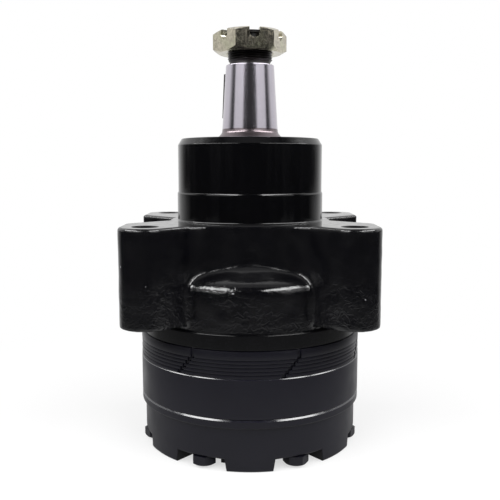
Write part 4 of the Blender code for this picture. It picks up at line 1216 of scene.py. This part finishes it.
def thread_radius(sizes, angle, height):
    """Radius of the thread's surface at an angle and a height, fading out at both ends."""
    bottom = sizes.taper_top + sizes.relief_length
    depth = sizes.pitch * 0.6
    fade = 0.001
    wave = abs(((height - bottom) / sizes.pitch - angle / (2 * math.pi)) % 1.0 * 2 - 1)
    cut = depth * min(1.0, max(0.0, wave * 1.25 - 0.12))
    from_end = min(height - bottom, SHAFT_TOP - height)
    crest = sizes.thread - max(0.0, fade - from_end) * 0.9
    return min(crest, sizes.thread - cut)


def shaft_profile(sizes, angle):
    """Section of the output shaft at an angle."""
    thread_bottom = sizes.taper_top + sizes.relief_length
    centre_drill = ((0.0, 0.0045), (0.00117, 0.0040), (0.00117, 0.0022), (0.0026, 0.0))
    points = [Vector((radius, SHAFT_TOP - depth)) for radius, depth in centre_drill]
    rows_per_turn = 9
    rows = int((SHAFT_TOP - thread_bottom) / (sizes.pitch / rows_per_turn))
    for k in range(rows + 1):
        height = SHAFT_TOP - (SHAFT_TOP - thread_bottom) * k / rows
        points.append(Vector((thread_radius(sizes, angle, height), height)))
    small_end = taper_radius(sizes, sizes.taper_top)
    corners = [(sizes.relief + 0.0004, thread_bottom, 0), (sizes.relief, thread_bottom - 0.0003, 0.0002),
               (sizes.relief, sizes.taper_top, 0.0003), (small_end, sizes.taper_top, 0.0004),
               (sizes.taper, sizes.taper_bottom, 0.0001), (sizes.flare, sizes.flare_top, sizes.flare_ease),
               (sizes.journal, sizes.flare_bottom, 0.0006), (sizes.journal, sizes.hub_top, 0.0004),
               (sizes.hub, sizes.hub_top, 0.0006), (sizes.hub, SHAFT_BOTTOM, 0.0006), (0.0, SHAFT_BOTTOM, 0)]
    return points + eased(corners, steps=4)


def key_outline(sizes, grow):
    """Woodruff key from its side."""
    radius = sizes.key_disc + grow
    start = math.asin((sizes.key_flat + grow) / radius)
    return arc((0.0, 0.0), radius, math.pi - start, 2 * math.pi + start, 40)


def key_place(sizes):
    """Placement of the key: its flat parallel to the taper."""
    height = sizes.key_height
    centre = taper_radius(sizes, height) + sizes.key_stand - sizes.key_flat
    lean = Matrix.Rotation(math.atan(sizes.taper_slope), 4, "Y")
    stand = Matrix.Rotation(-math.pi / 2, 4, "Y") @ Matrix.Rotation(math.pi / 2, 4, "X")
    beside = Matrix.Translation((-centre, 0.0, height))
    return Matrix.Rotation(-sizes.key_turn, 4, "Z") @ beside @ lean @ stand


def key_solid(name, sizes, grow, extra=0.0):
    """The key, or its seat with a gap."""
    outline = key_outline(sizes, grow)
    if extra:
        outline += [outline[-1] + Vector((0, extra)), outline[0] + Vector((0, extra))]
    half = sizes.key_width / 2 + grow
    made = plate(name, [outline], -half, half)
    made.data.transform(key_place(sizes))
    return made


def spline_socket(sizes):
    """Splined socket in the shaft's lower end, as a solid to cut with."""
    teeth = 12
    pitch = 2 * math.pi / teeth
    tip, root, middle = 0.0118, 0.0139, 0.0134
    play = 0.0006
    share = 0.5 + 2 * (play / middle) / pitch
    outline = []
    for i in range(teeth):
        for radius, offset in ((tip, -0.62), (root, -0.36), (root, 0.36), (tip, 0.62)):
            angle = pitch * (i + offset * share)
            outline.append(Vector((radius * math.cos(angle), radius * math.sin(angle))))
    return plate("spline_socket", [outline], SHAFT_BOTTOM - CUT_SPARE, SHAFT_BOTTOM + sizes.socket_depth)


class MOTOR_OT_output_shaft(bpy.types.Operator):
    """Build the output shaft with its thread, taper, flare and key seat"""
    bl_idname = "motor.output_shaft"
    bl_label = "Output shaft"

    def execute(self, context):
        sizes = context.scene.motor_shaft
        nut = context.scene.motor_nut
        shaft = lathe("output_shaft_body", 144, lambda angle: shaft_profile(sizes, angle))
        reach = sizes.thread + 0.001
        height = SHAFT_TOP - sizes.cotter_drop
        cotter = rod("cotter_hole", sizes.cotter, front(nut.angle, reach, height),
                     front(nut.angle + math.pi, reach, height), 40)
        seat = key_solid("key_seat", sizes, CLEARANCE, sizes.key_stand)
        combine(shaft, "DIFFERENCE", [spline_socket(sizes), seat, cotter])
        hand_in(shaft, "shaft", "ground_steel", finish_of("ground_shaft_steel"), "output_shaft")
        shaft.data.materials.append(finish_of("black_thread"))
        for face in shaft.data.polygons:
            if face.center.z > sizes.taper_top + 0.0002 and face.center.xy.length < sizes.thread + 0.0005:
                face.material_index = 1
        return {"FINISHED"}


class MOTOR_OT_shaft_key(bpy.types.Operator):
    """Build the Woodruff key"""
    bl_idname = "motor.shaft_key"
    bl_label = "Shaft key"

    def execute(self, context):
        sizes = context.scene.motor_shaft
        key = key_solid("woodruff_key", sizes, 0.0)
        bevel(key, 0.0003, 40.0)
        freeze(key)
        hand_in(key, "shaft", "dark_steel", finish_of("oiled_dark_steel"), "shaft_key")
        flatten(key)
        return {"FINISHED"}


def slot_tool(sizes, angle):
    """One slot right through the nut: square at the top, round at the bottom."""
    half = sizes.slot_width / 2
    outline = [Vector((half, 0.002)), Vector((-half, 0.002))]
    outline += arc((0.0, -sizes.slot_depth + half), half, math.pi, 2 * math.pi, 20)
    made = plate("nut_slot", [outline], -sizes.flats, sizes.flats)
    stand = Matrix.Rotation(angle, 4, "Z") @ Matrix.Rotation(math.pi / 2, 4, "X")
    made.data.transform(Matrix.Translation((0, 0, NUT_TOP)) @ stand)
    return made


class MOTOR_OT_castle_nut(bpy.types.Operator):
    """Build the slotted hexagon nut"""
    bl_idname = "motor.castle_nut"
    bl_label = "Slotted nut"

    def execute(self, context):
        sizes = context.scene.motor_nut
        shaft = context.scene.motor_shaft
        corner = sizes.flats / math.sqrt(3)
        nut = rod("slotted_nut", corner, (0, 0, NUT_BOTTOM), (0, 0, NUT_TOP), 6)
        nut.data.transform(Matrix.Rotation(sizes.angle + math.radians(30), 4, "Z"))
        wide = corner + 0.0005
        face = sizes.flats / 2 * 0.97
        rise = (wide - face) * math.tan(sizes.chamfer)
        cone = [(0, NUT_TOP), (face, NUT_TOP), (wide, NUT_TOP - rise), (wide, NUT_BOTTOM + rise),
                (face, NUT_BOTTOM), (0, NUT_BOTTOM)]
        combine(nut, "INTERSECT", [turned("nut_cone", 144, cone)])
        bore = shaft.thread + CLEARANCE
        lead = 0.0008
        inside = [(0, NUT_TOP + 0.0001), (bore + lead, NUT_TOP + 0.0001), (bore, NUT_TOP - lead),
                  (bore, NUT_BOTTOM + lead), (bore + lead, NUT_BOTTOM - 0.0001), (0, NUT_BOTTOM - 0.0001)]
        tools = [turned("nut_bore", 96, inside)]
        tools += [slot_tool(sizes, sizes.angle + math.radians(60) * i) for i in range(3)]
        combine(nut, "DIFFERENCE", tools)
        bevel(nut, sizes.edge_ease, 24.0, 3)
        freeze(nut)
        hand_in(nut, "shaft", "yellow_zinc", finish_of("yellow_zinc_plating"), "castle_nut")
        flatten(nut)
        return {"FINISHED"}


# ---------------------------------------------------------------- seals and the pieces inside


class MOTOR_OT_dust_seal(bpy.types.Operator):
    """Build the dust seal round the shaft"""
    bl_idname = "motor.dust_seal"
    bl_label = "Dust seal"

    def execute(self, context):
        shaft = context.scene.motor_shaft
        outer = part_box("dust_seal")[1].x
        inner = shaft.journal + CLEARANCE
        top = DUST_SEAL_TOP
        corners = [(inner + 0.0032, top - 0.0012, 0.0004), (inner + 0.0048, top - 0.0002, 0.0005),
                   (outer - 0.0012, top - 0.0002, 0.0004), (outer - 0.0008, top, 0.0002),
                   (outer, top, 0.0002), (outer, DUST_SEAL_BOTTOM, 0.0003),
                   (inner + 0.0026, DUST_SEAL_BOTTOM, 0.0003), (inner + 0.0026, top - 0.003, 0.0004),
                   (inner, top - 0.001, 0.0002), (inner, top - 0.0003, 0.0002),
                   (inner + 0.0010, top - 0.0008, 0.0003)]
        points = eased(corners, closed=True, steps=4)
        seal = turned("dust_seal_ring", 144, points, ring=True)
        hand_in(seal, "root", "seal_rubber", finish_of("seal_rubber"), "dust_seal")
        return {"FINISHED"}


INNER_FINISHES = {
    "bearing_steel": ["rotor", "thrust_washer", "thrust_bearing_rollers", "front_bearing_race",
                      "front_bearing_rollers", "rear_bearing_race", "rear_bearing_rollers"]
    + [f"rotor_roller_{i + 1}" for i in range(CLAMP_BOLTS)],
    "oiled_dark_steel": ["drive_link", "seal_backup_washer", "snap_ring"],
    "seal_rubber": ["shaft_seal", "cover_seal", "ring_seal"],
    "bronze": ["link_wafer"],
}


class MOTOR_OT_inner_pieces(bpy.types.Operator):
    """Give the pieces inside the motor their finishes"""
    bl_idname = "motor.inner_pieces"
    bl_label = "Inner pieces"

    def execute(self, context):
        for finish, names in INNER_FINISHES.items():
            for name in names:
                piece = frame["nodes"][name]
                piece.data.materials.clear()
                piece.data.materials.append(finish_of(finish))
        return {"FINISHED"}


# ---------------------------------------------------------------- stage


class StageSettings(bpy.types.PropertyGroup):
    """Camera and light."""
    camera_distance: length("Camera distance", "Distance of the camera in front of the shaft's axis", 0.40436)
    camera_height: length("Camera height", "Height of the camera", 0.1579)
    camera_pitch: turn("Camera pitch", "Angle that the camera looks down by", 6.924)
    camera_roll: turn("Camera roll", "Lean of the camera", 0.0)
    lens: FloatProperty(name="Lens", description="Focal length in millimetres", default=50.0)
    side_light: FloatProperty(name="Side light", description="Power of each side softbox in watts",
                              default=1.75)
    upper_light: FloatProperty(name="Upper light", description="Power of each upper softbox in watts",
                               default=16.0)
    fill: FloatProperty(name="Fill", description="Strength of the even light from all round", default=0.45)


def softbox(name, azimuth, elevation, size, power, target):
    """An area lamp that faces the motor from an azimuth and an elevation in degrees."""
    lamp = bpy.data.lights.new(name, "AREA")
    lamp.shape = "RECTANGLE"
    lamp.size = size[0]
    lamp.size_y = size[1]
    lamp.energy = power
    obj = link_object(name, lamp)
    rise = math.radians(elevation)
    away = front(math.radians(azimuth), math.cos(rise), math.sin(rise))
    obj.location = target + away * LAMP_DISTANCE
    obj.rotation_euler = away.to_track_quat("Z", "Y").to_euler()
    obj.visible_camera = False


def ray_share(network):
    """1 for rays from the camera, and 1 for those and for glossy and transmitted ones."""
    path = network.nodes.new("ShaderNodeLightPath").outputs
    bounced = network.sums("MAXIMUM", path["Is Glossy Ray"], path["Is Transmission Ray"])
    return path["Is Camera Ray"], network.sums("MAXIMUM", path["Is Camera Ray"], bounced)


def make_floor(radius):
    """Pale floor that goes over into the white background and keeps the motor's shadow."""
    floor = drawn_form("floor", lambda form: bmesh.ops.create_circle(form, cap_ends=True, segments=96,
                                                                     radius=radius), Matrix())
    material = bpy.data.materials.new("pale_floor")
    material.use_nodes = True
    network = Network(material.node_tree)
    nodes = network.nodes
    links = network.links
    nodes.clear()
    place = nodes.new("ShaderNodeTexCoord").outputs["Object"]
    reach = nodes.new("ShaderNodeVectorMath")
    reach.operation = "LENGTH"
    links.new(place, reach.inputs[0])
    away = reach.outputs["Value"]
    seen, share = ray_share(network)
    lit = network.sums("MULTIPLY", network.graded(away, 0.07, 0.30, 0.60, 1.0), share)
    beside = network.graded(away, 0.25, 0.60, 0.20, 0.03, "LINEAR")
    bearing = network.sums("DIVIDE", network.along(place, "Y"), away)
    behind = network.graded(bearing, 0.25, 0.90, 0.0, 0.85, "LINEAR")
    pale = nodes.new("ShaderNodeBsdfDiffuse")
    pale.inputs["Color"].default_value = (0.86, 0.86, 0.86, 1.0)
    glow = nodes.new("ShaderNodeEmission")
    links.new(network.between(seen, network.sums("ADD", beside, behind), 1.0), glow.inputs["Strength"])
    mix = nodes.new("ShaderNodeMixShader")
    for socket, source in zip(mix.inputs, (lit, pale.outputs[0], glow.outputs[0])):
        links.new(source, socket)
    out = nodes.new("ShaderNodeOutputMaterial")
    links.new(mix.outputs[0], out.inputs["Surface"])
    floor.data.materials.append(material)


def make_world(fill):
    """Even fill light. The camera sees white; gloss sees white behind the motor and dark in front of it."""
    world = bpy.data.worlds.new("studio")
    bpy.context.scene.world = world
    world.use_nodes = True
    network = Network(world.node_tree)
    nodes = network.nodes
    links = network.links
    nodes.clear()
    direction = nodes.new("ShaderNodeTexCoord").outputs["Generated"]
    climb = network.along(direction, "Z")
    widened = network.sums("MULTIPLY_ADD", network.graded(climb, 0.02, 0.12), 0.65,
                           network.along(direction, "Y"))
    dark = network.sums("ADD", network.graded(climb, 0.02, 0.16, 0.03, 0.012),
                        network.graded(climb, 0.78, 0.92, 0.0, 0.25))
    around = network.between(network.graded(widened, 0.50, 0.95), dark, 0.90)
    seen, share = ray_share(network)
    sky = nodes.new("ShaderNodeBackground")
    sky.inputs["Color"].default_value = (1.0, 1.0, 1.0, 1.0)
    links.new(network.between(seen, network.between(share, fill, around), 1.0), sky.inputs["Strength"])
    out = nodes.new("ShaderNodeOutputWorld")
    links.new(sky.outputs[0], out.inputs["Surface"])


FLOOR_RADIUS = 4.0
LAMP_DISTANCE = 1.2
SIDE_BOX = (50.0, 24.0, (0.9, 0.72))       # azimuth and elevation in degrees, width and height
UPPER_BOX = (64.0, 38.0, (1.9, 0.32))


class MOTOR_OT_stage(bpy.types.Operator):
    """Set up the floor, the light and the camera"""
    bl_idname = "motor.stage"
    bl_label = "Stage"

    def execute(self, context):
        stage = context.scene.motor_stage
        make_floor(FLOOR_RADIUS)
        make_world(stage.fill)
        target = Vector((0.0, 0.0, (CAD_LOW.z + CAD_HIGH.z) * 0.5))
        for side, name in ((-1, "left"), (1, "right")):
            for kind, box, power in (("softbox", SIDE_BOX, stage.side_light),
                                     ("upper_softbox", UPPER_BOX, stage.upper_light)):
                azimuth, elevation, size = box
                softbox(f"{name}_{kind}", side * azimuth, elevation, size, power, target)
        lens = bpy.data.cameras.new("camera")
        lens.lens = stage.lens
        lens.clip_start = 0.01
        camera = link_object("camera", lens)
        level = Matrix.Rotation(math.pi / 2 - stage.camera_pitch, 4, "X")
        lean = Matrix.Rotation(-stage.camera_roll, 4, "Z")
        stand = Matrix.Translation((0.0, -stage.camera_distance, stage.camera_height))
        camera.matrix_world = stand @ level @ lean
        context.scene.camera = camera
        context.scene.view_settings.view_transform = "Standard"
        return {"FINISHED"}


# ---------------------------------------------------------------- panel and registration

GROUPS = {
    "motor_housing": HousingSizes,
    "motor_cover": CoverSizes,
    "motor_stack": StackSizes,
    "motor_shaft": ShaftSizes,
    "motor_nut": NutSizes,
    "motor_colours": FinishColours,
    "motor_stage": StageSettings,
}
OPERATORS = (MOTOR_OT_housing, MOTOR_OT_end_cover, MOTOR_OT_cover_bolts, MOTOR_OT_rotor_ring,
             MOTOR_OT_manifold_plates, MOTOR_OT_output_shaft, MOTOR_OT_shaft_key, MOTOR_OT_castle_nut,
             MOTOR_OT_dust_seal, MOTOR_OT_inner_pieces, MOTOR_OT_stage)


class MOTOR_PT_panel(bpy.types.Panel):
    """Sizes, colours and builders of the motor"""
    bl_label = "Hydraulic Motor"
    bl_space_type = "VIEW_3D"
    bl_region_type = "UI"
    bl_category = "Motor"

    def draw(self, context):
        for operator in OPERATORS:
            self.layout.operator(operator.bl_idname)
        for name in GROUPS:
            group = getattr(context.scene, name)
            box = self.layout.box()
            for key in group.__annotations__:
                box.prop(group, key)


def register():
    """Register the property groups, operators and panel."""
    for name, group in GROUPS.items():
        bpy.utils.register_class(group)
        setattr(bpy.types.Scene, name, PointerProperty(type=group))
    for operator in OPERATORS:
        bpy.utils.register_class(operator)
    bpy.utils.register_class(MOTOR_PT_panel)


def unregister():
    """Undo register."""
    bpy.utils.unregister_class(MOTOR_PT_panel)
    for operator in reversed(OPERATORS):
        bpy.utils.unregister_class(operator)
    for name, group in reversed(GROUPS.items()):
        delattr(bpy.types.Scene, name)
        bpy.utils.unregister_class(group)


def main():
    """Build the motor and its stage."""
    register()
    bpy.ops.motor.housing()
    bpy.ops.motor.end_cover()
    bpy.ops.motor.cover_bolts()
    bpy.ops.motor.rotor_ring()
    bpy.ops.motor.manifold_plates()
    bpy.ops.motor.output_shaft()
    bpy.ops.motor.shaft_key()
    bpy.ops.motor.castle_nut()
    bpy.ops.motor.dust_seal()
    bpy.ops.motor.inner_pieces()
    bpy.ops.motor.stage()


if __name__ == "__main__":
    main()
